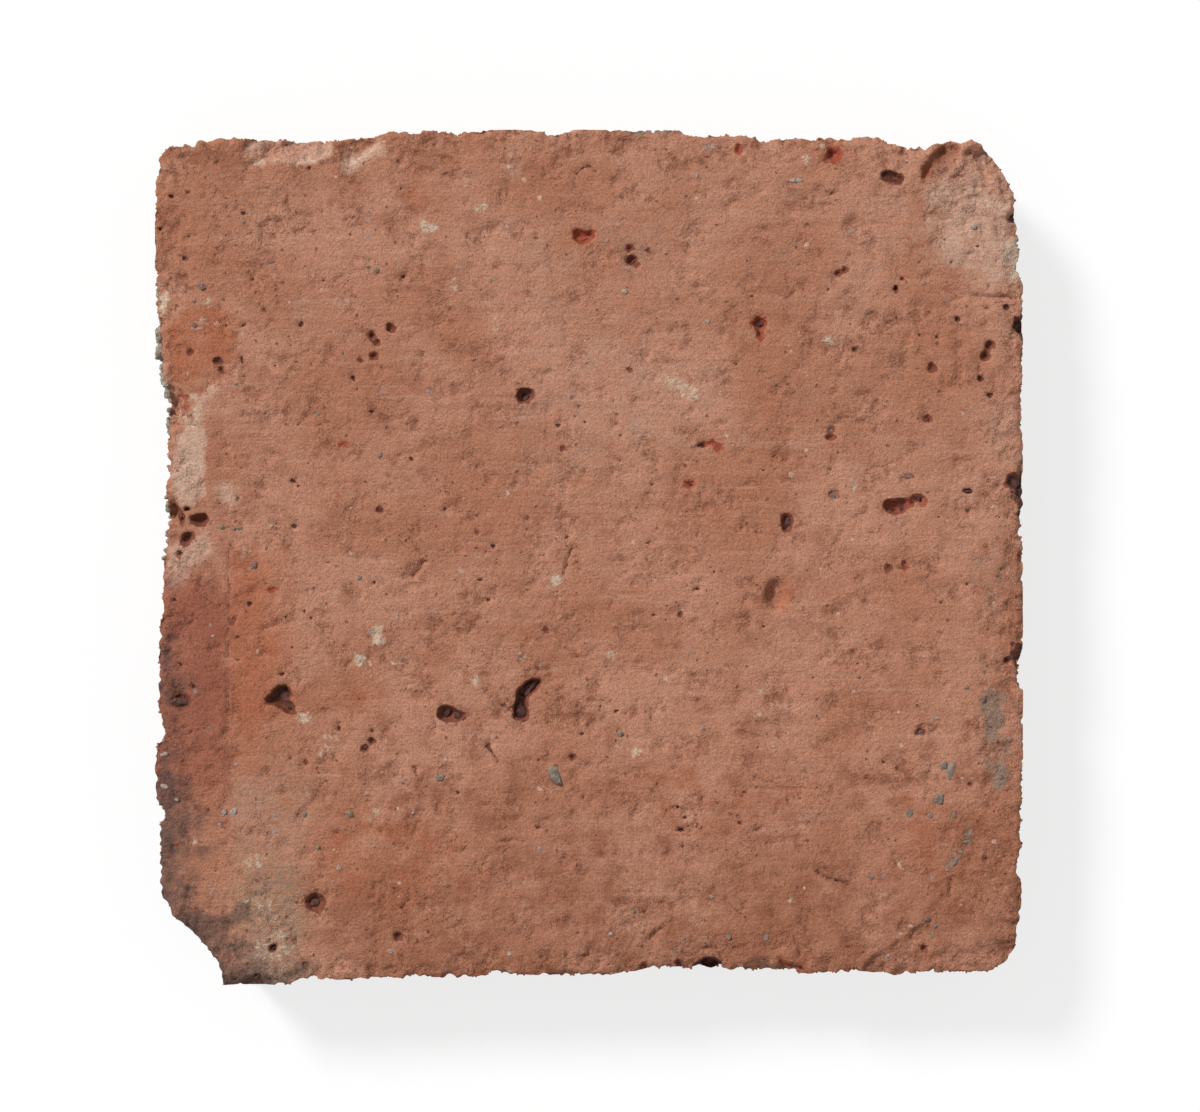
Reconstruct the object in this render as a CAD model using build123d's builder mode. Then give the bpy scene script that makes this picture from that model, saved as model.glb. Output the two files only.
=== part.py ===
from build123d import *

import math
import os
from collections import namedtuple

# A handmade square floor tile of terracotta: one pressed clay body, struck off by hand on top,
# fired, walked on and lifted again. Millimetres. The origin is under the middle of the tile, +X
# and +Y run along its sides and +Z is up through the worn face.

# The slab
tile_width = 200.0
tile_length = 197.0
tile_thickness = 25.0

# The worn upper edge and the slight bevel that a wooden mould leaves round the bed
arris_radius = 1.3
bed_edge_bevel = 0.7

# How far each side lies inside the nominal rectangle, at even steps from one corner to the next,
# for the south, east, north and west side, going round anticlockwise
side_losses = (
    (0.0, 0.4, 2.2, 2.9, 2.8, 4.1, 3.2, 3.2, 3.4),
    (1.0, 1.2, 0.2, 1.6, 0.7, 0.3, 0.3, 1.6, 1.8),
    (2.9, 4.1, 2.3, 1.8, 0.0, 0.1, 1.7, 2.8, 3.2),
    (0.4, 0.0, 0.7, 3.2, 3.0, 0.9, 0.3, 1.4, 0.8),
)

# Rounding of the outline: at the corner where each side starts, and where a side bends a little
corner_radii = (6.0, 9.0, 9.0, 9.0)
bend_radius = 60.0

# The broken corners: the fracture line on the worn face, as distances in from the nominal corner
# along the side that starts there and across it, and how far the fracture leans in on its way
# down to the bed
Break = namedtuple("Break", "corner line lean")
breaks = (
    Break(0, ((0.0, 20.4), (4.1, 15.9), (10.8, 9.6), (14.6, 5.2), (15.6, 0.0)), 1.4),
    Break(2, ((0.0, 15.8), (5.0, 7.8), (10.4, 3.6), (16.5, 0.0)), 0.9),
)

# Chips off the upper edge of the south, east, north and west side: the share of the side at
# which the chip's middle lies, its length along the edge, its bite into the face and its drop
Chip = namedtuple("Chip", "share length bite drop")
side_chips = (
    (
        Chip(0.094, 7.0, 3.4, 3.6),
        Chip(0.466, 9.0, 1.8, 3.0),
        Chip(0.633, 7.6, 3.2, 6.5),
        Chip(0.703, 18.0, 2.6, 4.5),
        Chip(0.908, 34.0, 10.0, 1.4),
    ),
    (
        Chip(0.380, 7.0, 1.8, 9.0),
        Chip(0.434, 14.0, 1.9, 2.4),
        Chip(0.582, 7.0, 3.6, 5.0),
        Chip(0.769, 5.4, 2.2, 4.4),
        Chip(0.844, 11.0, 3.0, 2.2),
        Chip(0.903, 18.0, 6.0, 3.0),
    ),
    (
        Chip(0.092, 8.4, 6.6, 3.8),
        Chip(0.765, 11.5, 5.6, 1.8),
        Chip(0.845, 19.5, 5.6, 2.4),
    ),
    (
        Chip(0.314, 8.6, 4.6, 6.0),
        Chip(0.452, 6.0, 3.0, 6.0),
        Chip(0.709, 3.4, 1.8, 7.0),
        Chip(0.798, 3.0, 1.8, 7.0),
    ),
)

# Voids where a stone or a lump of marl burnt or fell out: the middle of each, as shares of half
# the width and half the length, its length, width and depth, and the turn of its length from X
# in degrees. Two that meet make one bent void.
Void = namedtuple("Void", "east north length width depth turn")
voids = (
    Void(-0.722, -0.324, 5.0, 4.0, 2.9, 30.0),
    Void(-0.695, -0.338, 5.2, 3.2, 2.4, -60.0),
    Void(-0.130, -0.301, 5.0, 3.2, 3.2, 40.0),
    Void(-0.157, -0.345, 7.0, 3.8, 3.4, 85.0),
    Void(-0.318, -0.364, 6.2, 3.4, 2.2, -8.0),
    Void(0.433, -0.084, 10.0, 6.0, 1.7, 65.0),
    Void(-0.024, 0.751, 4.2, 2.8, 1.6, -60.0),
    Void(0.001, 0.753, 4.0, 2.6, 1.6, 60.0),
    Void(0.100, 0.692, 3.7, 3.2, 2.0, 20.0),
    Void(0.697, 0.888, 5.8, 3.0, 1.8, -8.0),
    Void(-0.146, 0.380, 4.2, 3.5, 2.3, 15.0),
    Void(0.392, 0.536, 5.4, 3.4, 1.9, -75.0),
    Void(0.708, 0.119, 6.0, 3.7, 2.2, 12.0),
    Void(0.761, 0.131, 3.3, 3.1, 1.7, 60.0),
    Void(-0.901, 0.089, 4.6, 3.0, 2.5, 5.0),
    Void(-0.929, 0.047, 3.2, 3.0, 2.1, 40.0),
    Void(-0.940, -0.331, 4.7, 3.9, 1.6, 8.0),
    Void(-0.628, -0.807, 4.5, 3.9, 2.1, 20.0),
    Void(0.454, 0.079, 4.6, 2.9, 1.8, 80.0),
    Void(-0.509, -0.434, 3.4, 2.6, 1.4, 45.0),
    Void(0.777, 0.326, 2.8, 2.6, 1.3, 0.0),
    Void(0.915, 0.483, 5.8, 2.6, 1.8, 70.0),
    Void(0.577, 0.667, 3.7, 2.2, 1.5, 25.0),
    Void(-0.456, 0.536, 2.8, 2.3, 1.6, 80.0),
    Void(-0.495, 0.510, 3.5, 2.5, 1.6, -60.0),
    Void(-0.848, 0.455, 4.0, 2.6, 1.5, -62.0),
    Void(-0.727, -0.909, 2.6, 2.3, 1.6, 30.0),
    Void(-0.440, -0.883, 2.8, 2.3, 1.4, 90.0),
    Void(0.561, 0.942, 4.6, 3.8, 1.8, 80.0),
)

# The angular cast that a stone leaves: its sides, how uneven its mouth is, and how much of half
# its width the walls take up on their way down to the floor
void_sides = 8
void_raggedness = 0.08
void_inset = 0.6

# How far a cutting shape reaches past the slab, which only the construction uses
overcut = 6.0

half_width = tile_width / 2
half_length = tile_length / 2
nominal_corners = (
    (-half_width, -half_length),
    (half_width, -half_length),
    (half_width, half_length),
    (-half_width, half_length),
)


def side_directions(index):
    """Unit directions along one side, going round anticlockwise, and from it into the tile."""
    start = Vector(*nominal_corners[index])
    end = Vector(*nominal_corners[(index + 1) % len(nominal_corners)])
    along = (end - start).normalized()
    return along, along.rotate(Axis.Z, 90)


def side_bends(index):
    """Corner where one side starts, and the side's bends, going round anticlockwise."""
    start = Vector(*nominal_corners[index])
    end = Vector(*nominal_corners[(index + 1) % len(nominal_corners)])
    along, inward = side_directions(index)
    losses = side_losses[index]
    steps = len(losses) - 1
    bends = [start + inward * losses[0] + along * side_losses[index - 1][-1]]
    bends += [start + (end - start) * (step / steps) + inward * losses[step] for step in range(1, steps)]
    return bends


def side_line(index):
    """The whole of one side, from its corner to the next, as a guide for what lies along it."""
    return Polyline(*side_bends(index), side_bends((index + 1) % len(nominal_corners))[0])


def chip_ball(line, chip):
    """Middle and radius of the ball that takes a chip off the upper edge of a side."""
    half_chord = chip.length / 2
    outside = (half_chord**2 - chip.bite**2) / (2 * chip.bite)
    above = (half_chord**2 - chip.drop**2) / (2 * chip.drop)
    outward = (line % chip.share).rotate(Axis.Z, -90)
    middle = line @ chip.share + outward * outside + Vector(0, 0, tile_thickness + above)
    return middle, math.hypot(outside + chip.bite, above)


def void_corners(void):
    """Corners of a void's mouth, on an uneven oval about its middle."""
    corners = []
    for k in range(void_sides):
        angle = 2 * math.pi * k / void_sides
        reach = 1 - void_raggedness * (k % 3)
        corners.append((reach * void.length / 2 * math.cos(angle), reach * void.width / 2 * math.sin(angle)))
    return corners


# The outline of the slab
with BuildLine() as outline:
    bends = []
    radii = []
    for index, corner_radius in enumerate(corner_radii):
        bends += side_bends(index)
        radii += [corner_radius] + [bend_radius] * (len(side_losses[index]) - 2)
    FilletPolyline(*bends, radius=radii, close=True)

# Guides along the four sides
side_lines = [side_line(index) for index in range(len(side_losses))]

# What broke away at the corners
with BuildPart() as broken_off:
    for broken in breaks:
        corner = Vector(*nominal_corners[broken.corner])
        along, inward = side_directions(broken.corner)
        for height, lean in ((tile_thickness + overcut, 0.0), (-overcut, broken.lean)):
            origin = corner + (along + inward) * lean + Vector(0, 0, height)
            with BuildSketch(Plane(origin, x_dir=along, z_dir=(0, 0, 1))):
                with BuildLine():
                    Polyline(
                        (-overcut, broken.line[0][1]),
                        *broken.line,
                        (broken.line[-1][0], -overcut),
                        (-overcut, -overcut),
                        close=True,
                    )
                make_face()
        loft(ruled=True)

# What the chips took off the upper edge
with BuildPart() as chipped_off:
    for line, chips in zip(side_lines, side_chips):
        for chip in chips:
            middle, radius = chip_ball(line, chip)
            with Locations(middle):
                Sphere(radius)

# What burnt or fell out of the worn face
with BuildPart() as fallen_out:
    for void in voids:
        with BuildSketch(Plane.XY.offset(tile_thickness)):
            with Locations((void.east * half_width, void.north * half_length)):
                Polygon(*void_corners(void), rotation=void.turn, align=None)
        taper = math.degrees(math.atan(void_inset * void.width / 2 / void.depth))
        extrude(amount=-void.depth, taper=taper)

# The tile
with BuildPart() as tile:
    with BuildSketch():
        make_face(outline.edges())
    extrude(amount=tile_thickness)
    fillet(tile.faces().sort_by(Axis.Z)[-1].edges(), radius=arris_radius)
    chamfer(tile.faces().sort_by(Axis.Z)[0].edges(), length=bed_edge_bevel)
    for loss in (broken_off, fallen_out, chipped_off):
        add(loss.part, mode=Mode.SUBTRACT)
tile.part.label = "tile"

os.makedirs("parts", exist_ok=True)
export_step(tile.part, "parts/tile.step")
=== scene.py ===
import math

import bmesh
import bpy
import numpy as np
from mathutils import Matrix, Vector
from mathutils.bvhtree import BVHTree


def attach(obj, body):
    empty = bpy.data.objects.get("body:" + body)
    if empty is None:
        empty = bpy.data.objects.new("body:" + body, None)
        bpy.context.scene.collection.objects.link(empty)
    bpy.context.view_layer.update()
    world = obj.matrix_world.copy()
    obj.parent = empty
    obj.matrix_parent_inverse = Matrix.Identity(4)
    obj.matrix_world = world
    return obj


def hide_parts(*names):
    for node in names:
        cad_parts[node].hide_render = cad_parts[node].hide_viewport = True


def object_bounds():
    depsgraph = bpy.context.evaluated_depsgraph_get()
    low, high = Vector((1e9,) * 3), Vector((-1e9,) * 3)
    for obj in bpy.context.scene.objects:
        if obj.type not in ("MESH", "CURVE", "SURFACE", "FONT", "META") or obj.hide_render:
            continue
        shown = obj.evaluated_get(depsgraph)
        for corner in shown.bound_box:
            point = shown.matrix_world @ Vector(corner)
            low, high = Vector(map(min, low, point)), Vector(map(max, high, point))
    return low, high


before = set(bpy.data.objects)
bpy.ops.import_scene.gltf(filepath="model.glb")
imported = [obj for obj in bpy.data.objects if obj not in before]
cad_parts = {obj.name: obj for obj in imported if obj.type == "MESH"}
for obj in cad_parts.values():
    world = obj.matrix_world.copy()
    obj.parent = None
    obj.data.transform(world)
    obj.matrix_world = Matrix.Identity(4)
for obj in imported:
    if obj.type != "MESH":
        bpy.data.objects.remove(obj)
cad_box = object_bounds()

# The worn terracotta floor tile. Places are read in photograph pixels and sizes are in
# millimetres; meshes are turned into metres when they are made.

MM = 0.001
PIXEL = 0.22963
ORIGIN_PX = (589.5, 558.0)
FRAME_CENTRE_PX = (600.0, 556.0)
FRAME_WIDTH_PX = 1200.0
THICKNESS = 25.0
VOXEL = 0.4
BODY_TRIANGLES = 194000
MORTAR_VOXEL = 0.34
# How much the thinning evens out the triangles as well as keeping the shape, and how firmly the
# worn face, the walls and the top of the walls are kept in it
THINNING_EVENNESS = 1e-5
FACE_WEIGHT = 0.9
WALL_WEIGHT = 0.5
RIM_WEIGHT = 0.3


def place(px, py):
    """A pixel of the photograph as X and Y on the worn face."""
    return (px - ORIGIN_PX[0]) * PIXEL, (ORIGIN_PX[1] - py) * PIXEL


# ------------------------------------------------------------------ noise

def smooth(t):
    t = np.clip(t, 0.0, 1.0)
    return t * t * (3.0 - 2.0 * t)


def ramp(value, low, high):
    """0 below low, 1 above high, smooth between; low may be the larger."""
    return smooth((value - low) / (high - low))


SLOPES = {}


def slopes(seed):
    if seed not in SLOPES:
        angles = np.random.default_rng(seed).uniform(0.0, 2.0 * math.pi, (256, 256))
        SLOPES[seed] = (np.cos(angles), np.sin(angles))
    return SLOPES[seed]


def noise(x, y, cell, seed, stretch=1.0):
    """Gradient noise in about -1..1. stretch lengthens its features along X."""
    gx, gy = slopes(seed)
    u = x / (cell * stretch) + 37.3
    v = y / cell + 91.7
    iu = np.floor(u).astype(int)
    iv = np.floor(v).astype(int)
    fu = u - iu
    fv = v - iv
    su = fu**3 * (fu * (fu * 6 - 15) + 10)
    sv = fv**3 * (fv * (fv * 6 - 15) + 10)

    def corner(du, dv):
        a = (iu + du) % 256
        b = (iv + dv) % 256
        return gx[a, b] * (fu - du) + gy[a, b] * (fv - dv)

    low = corner(0, 0) * (1 - su) + corner(1, 0) * su
    high = corner(0, 1) * (1 - su) + corner(1, 1) * su
    return 1.5 * (low * (1 - sv) + high * sv)


def fractal(x, y, cell, seed, octaves, gain=0.5):
    total = 0.0
    weight = 1.0
    for k in range(octaves):
        total = total + weight * noise(x, y, cell / 2**k, seed + 101 * k)
        weight *= gain
    return total


def noise3(x, y, z, cell, seed):
    """Noise over a body: three plane noises mixed, enough for rough walls."""
    a = noise(x + 0.37 * z, z - 0.21 * y, cell, seed)
    b = noise(y - 0.43 * z, z + 0.29 * x, cell, seed + 7)
    c = noise(x - 0.31 * z, y + 0.17 * z, cell, seed + 13)
    return (a + b + c) / 1.8


# ------------------------------------------------------------------ the outline, read clockwise

OUTLINE_PX = (
    (156, 162), (160, 155), (164, 150), (175, 147), (191, 144), (200, 141), (217, 140), (234, 138),
    (248, 140), (269, 141), (283, 140), (296, 142), (307, 140), (318, 139), (323, 142), (331, 141),
    (346, 139), (361, 138), (377, 135), (392, 132), (413, 133), (431, 130), (455, 133), (475, 130),
    (493, 129), (520, 129), (531, 131), (554, 133), (570, 129.5), (594, 129), (608, 129), (629, 130),
    (646, 132), (673, 129), (684, 134), (700, 137), (715, 135), (740, 135), (756, 138), (770, 141),
    (792, 139), (811, 138), (831, 137), (854, 139), (876, 137), (885, 141), (913, 148), (921, 145),
    (931, 147), (948, 140), (956, 139), (963, 144), (969, 139), (980, 144), (991, 151), (994, 161),
    (998, 162), (1007, 180), (1015, 195), (1015, 215), (1019, 231), (1019, 269), (1022, 289),
    (1022, 311), (1025, 322), (1023, 339), (1024, 356), (1022, 372), (1022, 420), (1023, 450),
    (1025, 483), (1025, 500), (1021, 517), (1020, 533), (1022, 550), (1023, 600), (1023, 630),
    (1022, 650), (1017, 668), (1016, 677), (1021, 687), (1025, 705), (1023, 724), (1025, 748),
    (1024, 767), (1022, 795), (1020, 833), (1022, 852), (1017, 871), (1021, 892), (1019, 918),
    (1016, 944), (1013, 953), (1007, 960), (997, 967), (988, 972), (960, 972), (936, 972),
    (912, 973), (901, 976), (889, 973), (863, 970), (832, 972), (806, 973), (790, 970), (747, 971),
    (724, 970), (712, 972), (690, 968), (660, 967), (640, 970), (600, 975), (560, 975), (500, 973),
    (440, 978), (382, 977), (346, 979), (310, 979), (285, 983), (256, 986), (225, 985), (223, 979),
    (222, 969), (213, 957), (201, 943), (188, 928), (173, 916), (163, 899), (159, 877), (161, 848),
    (159, 824), (163, 814), (157, 800), (157, 785), (155, 766), (159, 744), (164, 737), (163, 727),
    (159, 698), (158, 661), (161, 630), (163, 600), (165, 560), (168, 530), (168, 500), (168, 460),
    (169, 400), (164, 381), (161, 359), (159, 340), (159, 317), (158, 301), (157, 290), (157, 276),
    (154, 263), (157, 255), (155, 244), (154, 225), (155, 186), (159, 175),
)
CRUMB_STEP = 0.3
OUTLINE_PASSES = 3
# The bays of the crumbled rim, wide and small: the spacing of each kind and how far it bites in
COARSE_CELL = 3.1
CRUMB_COARSE = 0.5
SMALL_CELL = 1.05
CRUMB_SMALL = 0.95
# The line is laid this far out first, so that its bays come back to the outline
OUTLINE_INSET = -0.5
LONGEST_LOOP = 60


def evened(points, passes):
    """A closed line with its corners evened out a little at each pass."""
    for _ in range(passes):
        points = (np.roll(points, 1, axis=0) + 2 * points + np.roll(points, -1, axis=0)) / 4
    return points


def inward_of(points):
    """Unit directions into the tile, at each point of a closed line read clockwise."""
    along = np.roll(points, -1, axis=0) - np.roll(points, 1, axis=0)
    along /= np.linalg.norm(along, axis=1)[:, None]
    return np.column_stack((along[:, 1], -along[:, 0]))


def outline_loop():
    """The outline in millimetres, at even steps, with the crumbled edge's small bays."""
    corners = np.array([place(*point) for point in OUTLINE_PX])
    runs = np.linalg.norm(np.roll(corners, -1, axis=0) - corners, axis=1)
    length = runs.sum()
    at = np.concatenate(([0.0], np.cumsum(runs)))
    closed = np.vstack((corners, corners[:1]))
    steps = np.linspace(0.0, length, int(length / CRUMB_STEP), endpoint=False)
    loop = np.column_stack([np.interp(steps, at, closed[:, axis]) for axis in (0, 1)])
    loop = evened(loop, OUTLINE_PASSES)
    coarse = noise(steps, np.zeros_like(steps), COARSE_CELL, 11)
    small = noise(steps, np.zeros_like(steps) + 5.0, SMALL_CELL, 12)
    bay = CRUMB_COARSE * np.clip(coarse + 0.25, 0.0, None) + CRUMB_SMALL * np.clip(small + 0.2, 0.0, None)
    return untangle(loop + inward_of(loop) * (bay + OUTLINE_INSET)[:, None])


def untangle(points):
    """Cuts off the small loops where the line crosses itself, which a cap couldn't fill."""
    gap = 2
    while gap < LONGEST_LOOP:
        a = points
        b = np.roll(points, -1, axis=0)
        c = np.roll(points, -gap, axis=0)
        d = np.roll(points, -gap - 1, axis=0)
        side = [(q[:, 0] - p[:, 0]) * (r[:, 1] - p[:, 1]) - (q[:, 1] - p[:, 1]) * (r[:, 0] - p[:, 0])
                for p, q, r in ((a, b, c), (a, b, d), (c, d, a), (c, d, b))]
        crossed = np.nonzero((side[0] * side[1] < 0) & (side[2] * side[3] < 0))[0]
        if len(crossed):
            drop = (crossed[0] + 1 + np.arange(gap)) % len(points)
            points = np.delete(points, drop, axis=0)
            gap = 2
        else:
            gap += 1
    return points


loop = outline_loop()

# ------------------------------------------------------------------ maps over the worn face

GRID = 0.2
SPAN_X = (-103.0, 103.0)
SPAN_Y = (-102.0, 102.0)
grid_x = np.arange(SPAN_X[0], SPAN_X[1], GRID)
grid_y = np.arange(SPAN_Y[0], SPAN_Y[1], GRID)
X, Y = np.meshgrid(grid_x, grid_y, indexing="ij")
# Distances from the edge are worked out at every third cell of the outer region, in blocks
COARSER = 3
EDGE_REGION = 78.0
FAR_INSIDE = 20.0
BLOCK = 4000


def between_cells(layer, u, v):
    """A grid's value at any places, counted in cells and read between them."""
    u = np.clip(u, 0, layer.shape[0] - 1.001)
    v = np.clip(v, 0, layer.shape[1] - 1.001)
    iu = u.astype(int)
    iv = v.astype(int)
    fu = u - iu
    fv = v - iv
    low = layer[iu, iv] * (1 - fu) + layer[iu + 1, iv] * fu
    high = layer[iu, iv + 1] * (1 - fu) + layer[iu + 1, iv + 1] * fu
    return low * (1 - fv) + high * fv


def sample(layer, x, y):
    """A map's value at points in millimetres."""
    return between_cells(layer, (x - SPAN_X[0]) / GRID, (y - SPAN_Y[0]) / GRID)


def edge_distance():
    """How far each cell lies from the outline, worked out on a coarser grid near the edge."""
    x = X[::COARSER, ::COARSER]
    y = Y[::COARSER, ::COARSER]
    near = (np.abs(x) > EDGE_REGION) | (np.abs(y) > EDGE_REGION)
    points = np.column_stack((x[near], y[near])).astype(np.float32)
    rim = loop[::2].astype(np.float32)
    best = np.empty(len(points), np.float32)
    for start in range(0, len(points), BLOCK):
        block = points[start:start + BLOCK]
        gap = (block[:, None, 0] - rim[None, :, 0])**2 + (block[:, None, 1] - rim[None, :, 1])**2
        best[start:start + BLOCK] = np.sqrt(gap.min(axis=1))
    coarse = np.full(x.shape, FAR_INSIDE)
    coarse[near] = best
    rows, columns = np.indices(X.shape)
    return between_cells(coarse, rows / COARSER, columns / COARSER)


EDGE = edge_distance()


def window(x, y, reach):
    """The part of the maps within reach of a point."""
    i0 = max(int((x - reach - SPAN_X[0]) / GRID), 0)
    i1 = min(int((x + reach - SPAN_X[0]) / GRID) + 2, X.shape[0])
    j0 = max(int((y - reach - SPAN_Y[0]) / GRID), 0)
    j1 = min(int((y + reach - SPAN_Y[0]) / GRID) + 2, X.shape[1])
    return slice(i0, i1), slice(j0, j1)


def oval(px, py, width, height, turn, rough, cell, seed):
    """Window of an oval mark given in pixels, and how far out its cells lie: 0 middle, 1 rim."""
    x, y = place(px, py)
    a = max(width * PIXEL / 2, 0.2)
    b = max(height * PIXEL / 2, 0.2)
    part = window(x, y, 2.2 * max(a, b) + 0.6)
    dx = X[part] - x
    dy = Y[part] - y
    c = math.cos(math.radians(turn))
    s = math.sin(math.radians(turn))
    u = (dx * c + dy * s) / a
    v = (-dx * s + dy * c) / b
    wobble = rough * fractal(X[part], Y[part], cell, 500 + seed, 2)
    return part, np.sqrt(u * u + v * v) + wobble


# The first seed of each kind of mark; the others of its kind follow it
CHIP_SEED = 40
FLAKE_SEED = 40
PATCH_SEED = 60
PRICK_SEED = 200
ROUGH_SEED = 300
STAIN_SEED = 400
IRON_SEED = 1000
GREY_SEED = 2000
MAUVE_SEED = 3000
PALE_SEED = 4000

TINTS = ("pit", "hollow", "ochre", "ember", "band", "soot", "bleach", "cream", "grey", "scar", "warm", "deep",
         "crumb")
form = np.zeros_like(X)      # the large drops: chips, deep voids, broad wear
fine = np.zeros_like(X)      # the small ones, laid on after the body is remeshed
tint = {name: np.zeros_like(X) for name in TINTS}


def colour(name, part, amount):
    tint[name][part] = np.maximum(tint[name][part], amount)


def sink(px, py, width, height, turn, depth, dark, ember, seed):
    """A void with steep walls and a rough floor; dark and ember colour its inside."""
    part, q = oval(px, py, width, height, turn, 0.2, 1.3, seed)
    inside = smooth((1.0 - q) / 0.45)
    floor = 1.0 + 0.22 * noise(X[part], Y[part], 0.9, 700 + seed)
    form[part] = np.maximum(form[part], depth * inside * floor)
    colour("hollow", part, dark * smooth((1.1 - q) / 0.3))
    colour("ember", part, ember * smooth((1.15 - q) / 0.3))


def segment_gap(x, y, start, end):
    """How far places lie from a straight run between two points."""
    run = end - start
    share = np.clip(((x - start[0]) * run[0] + (y - start[1]) * run[1]) / (run @ run), 0, 1)
    return np.hypot(x - start[0] - share * run[0], y - start[1] - share * run[1])


def shape(corners, wobble, cell, seed, margin=1.5):
    """Window of a shape given by corners in pixels, and how far inside it each cell lies."""
    knots = np.array([place(*point) for point in corners])
    middle = knots.mean(axis=0)
    part = window(middle[0], middle[1], np.abs(knots - middle).max() + margin)
    x = X[part] + wobble * fractal(X[part], Y[part], cell, 1100 + seed, 3)
    y = Y[part] + wobble * fractal(X[part], Y[part], cell, 1200 + seed, 3)
    gap = np.full(x.shape, np.inf)
    inside = np.zeros(x.shape, bool)
    for start, end in zip(knots, np.roll(knots, -1, axis=0)):
        gap = np.minimum(gap, segment_gap(x, y, start, end))
        if end[1] != start[1]:
            crossed = (start[1] > y) != (end[1] > y)
            inside ^= crossed & (x < start[0] + (y - start[1]) * (end[0] - start[0]) / (end[1] - start[1]))
    return part, np.where(inside, gap, -gap)


def basin(corners, depth, dark, ember, seed):
    """A void with a mouth of its own shape."""
    part, within = shape(corners, 0.3, 1.1, seed)
    floor = 1.0 + 0.2 * noise(X[part], Y[part], 1.2, 1300 + seed)
    form[part] = np.maximum(form[part], depth * floor * smooth((within + 0.15) / 0.9))
    colour("hollow", part, min(dark, 1.0) * smooth((within + 0.4) / 0.4))
    # Darkness beyond 1 is painted shade, laid on the void beyond the shade its walls cast
    colour("pit", part, max(dark - 1.0, 0.0) * smooth((within + 0.2) / 0.4))
    colour("ember", part, ember * smooth((within + 0.5) / 0.4))


def patch(name, corners, amount, soft, seed):
    """A coloured patch with a shape of its own and a soft, uneven rim."""
    part, within = shape(corners, 0.9, 2.6, seed, 3.0)
    colour(name, part, amount * smooth((within + soft / 2) / soft))


def flake(corners, depth, seed):
    """A shallow chip off the edge: an even drop with a short step at its rim."""
    part, within = shape(corners, 0.5, 2.0, seed, 2.0)
    rough = 1.0 + 0.3 * fractal(X[part], Y[part], 3.0, 1400 + seed, 3)
    form[part] += depth * rough * smooth((within + 0.1) / 1.0)
    colour("crumb", part, 0.7 * smooth(within / 0.8))


def prick(px, py, width, height, turn, depth, dark, seed):
    """A small pit, of a millimetre or two; its dark colour is partly painted shade."""
    part, q = oval(px, py, width, height, turn, 0.15, 0.8, seed)
    fine[part] = np.maximum(fine[part], depth * smooth((1.0 - q) / 0.6))
    colour("pit", part, dark * smooth((1.05 - q) / 0.45))


def stain(name, px, py, width, height, turn, amount, rough, soft, seed):
    """A patch of colour with an uneven rim."""
    part, q = oval(px, py, width, height, turn, rough, 0.22 * (width + height) * PIXEL + 0.6, seed)
    colour(name, part, amount * smooth((1.05 - q) / soft))


def stroke(line, width, depth, dark, seed):
    """A scratch or crack along a line of pixels; width and depth in millimetres."""
    knots = np.array([place(*point) for point in line])
    middle = knots.mean(axis=0)
    reach = np.abs(knots - middle).max() + 2.0
    part = window(middle[0], middle[1], reach)
    x = X[part] + 0.35 * noise(X[part], Y[part], 1.8, 800 + seed)
    y = Y[part] + 0.35 * noise(X[part], Y[part], 1.8, 900 + seed)
    gap = np.full(x.shape, np.inf)
    for start, end in zip(knots[:-1], knots[1:]):
        gap = np.minimum(gap, segment_gap(x, y, start, end))
    cut = smooth(1.0 - gap / width)
    fine[part] = np.maximum(fine[part], depth * cut)
    # The dark along a scratch is partly painted shade in its groove
    colour("pit", part, dark * smooth(1.3 - gap / (0.8 * width)))


# ------------------------------------------------------------------ broad wear

form += 0.30 + 0.16 * fractal(X, Y, 42.0, 21, 3)
form += 0.10 * fractal(X, Y, 19.0, 26, 2) + 0.10 * fractal(X, Y, 8.0, 22, 3)

# The worn arris, rounder in some stretches than in others
arris = 1.15 + 0.8 * fractal(X, Y, 15.0, 23, 2) + 0.35 * noise(X, Y, 3.0, 24)
arris = np.clip(arris, 0.35, 3.0)
inset = np.clip(arris - EDGE, 0.0, arris)
form += 0.9 * (arris - np.sqrt(np.maximum(arris**2 - inset**2, 0.0)))
form += ramp(EDGE, 7.0, 0.0) * (0.22 + 0.3 * np.clip(fractal(X, Y, 4.5, 25, 3), -0.6, 1.0))

# ------------------------------------------------------------------ chips along the edges
# Pixel, width, height, turn, depth in millimetres

CHIPS = (
    (288, 146, 96, 30, 0, 1.5), (360, 146, 56, 34, 18, 1.7), (945, 150, 44, 40, -25, 2.0),
    (990, 160, 70, 46, -48, 2.4), (968, 190, 90, 86, -30, 0.9), (1013, 262, 22, 56, -4, 1.1),
    (1012, 218, 14, 16, 0, 3.0), (1021, 327, 18, 30, 0, 4.0), (1021, 484, 16, 46, 0, 4.2),
    (1024, 660, 20, 48, 0, 2.8), (1022, 868, 20, 26, 0, 1.8), (1010, 950, 40, 40, 45, 1.8),
    (766, 972, 92, 28, 0, 3.2), (705, 970, 34, 22, 0, 5.2), (680, 968, 12, 16, 0, 3.0),
    (643, 970, 16, 12, 0, 2.4), (560, 976, 46, 14, 0, 1.8), (250, 988, 80, 30, 4, 2.4),
    (200, 945, 66, 24, -48, 2.6), (172, 402, 22, 50, 12, 4.0), (172, 512, 20, 26, 0, 4.6),
    (160, 814, 12, 20, 0, 3.4), (160, 736, 12, 20, 0, 3.2), (156, 300, 14, 40, 0, 1.6),
    (158, 160, 26, 22, 45, 1.6), (700, 134, 44, 14, 0, 1.0), (770, 138, 46, 12, 0, 1.2),
    (920, 144, 26, 14, 0, 1.8), (831, 140, 22, 20, 0, 2.6), (1022, 540, 12, 50, 0, 1.0),
    (158, 660, 10, 60, 0, 1.2), (430, 980, 60, 10, 0, 1.0),
)
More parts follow.
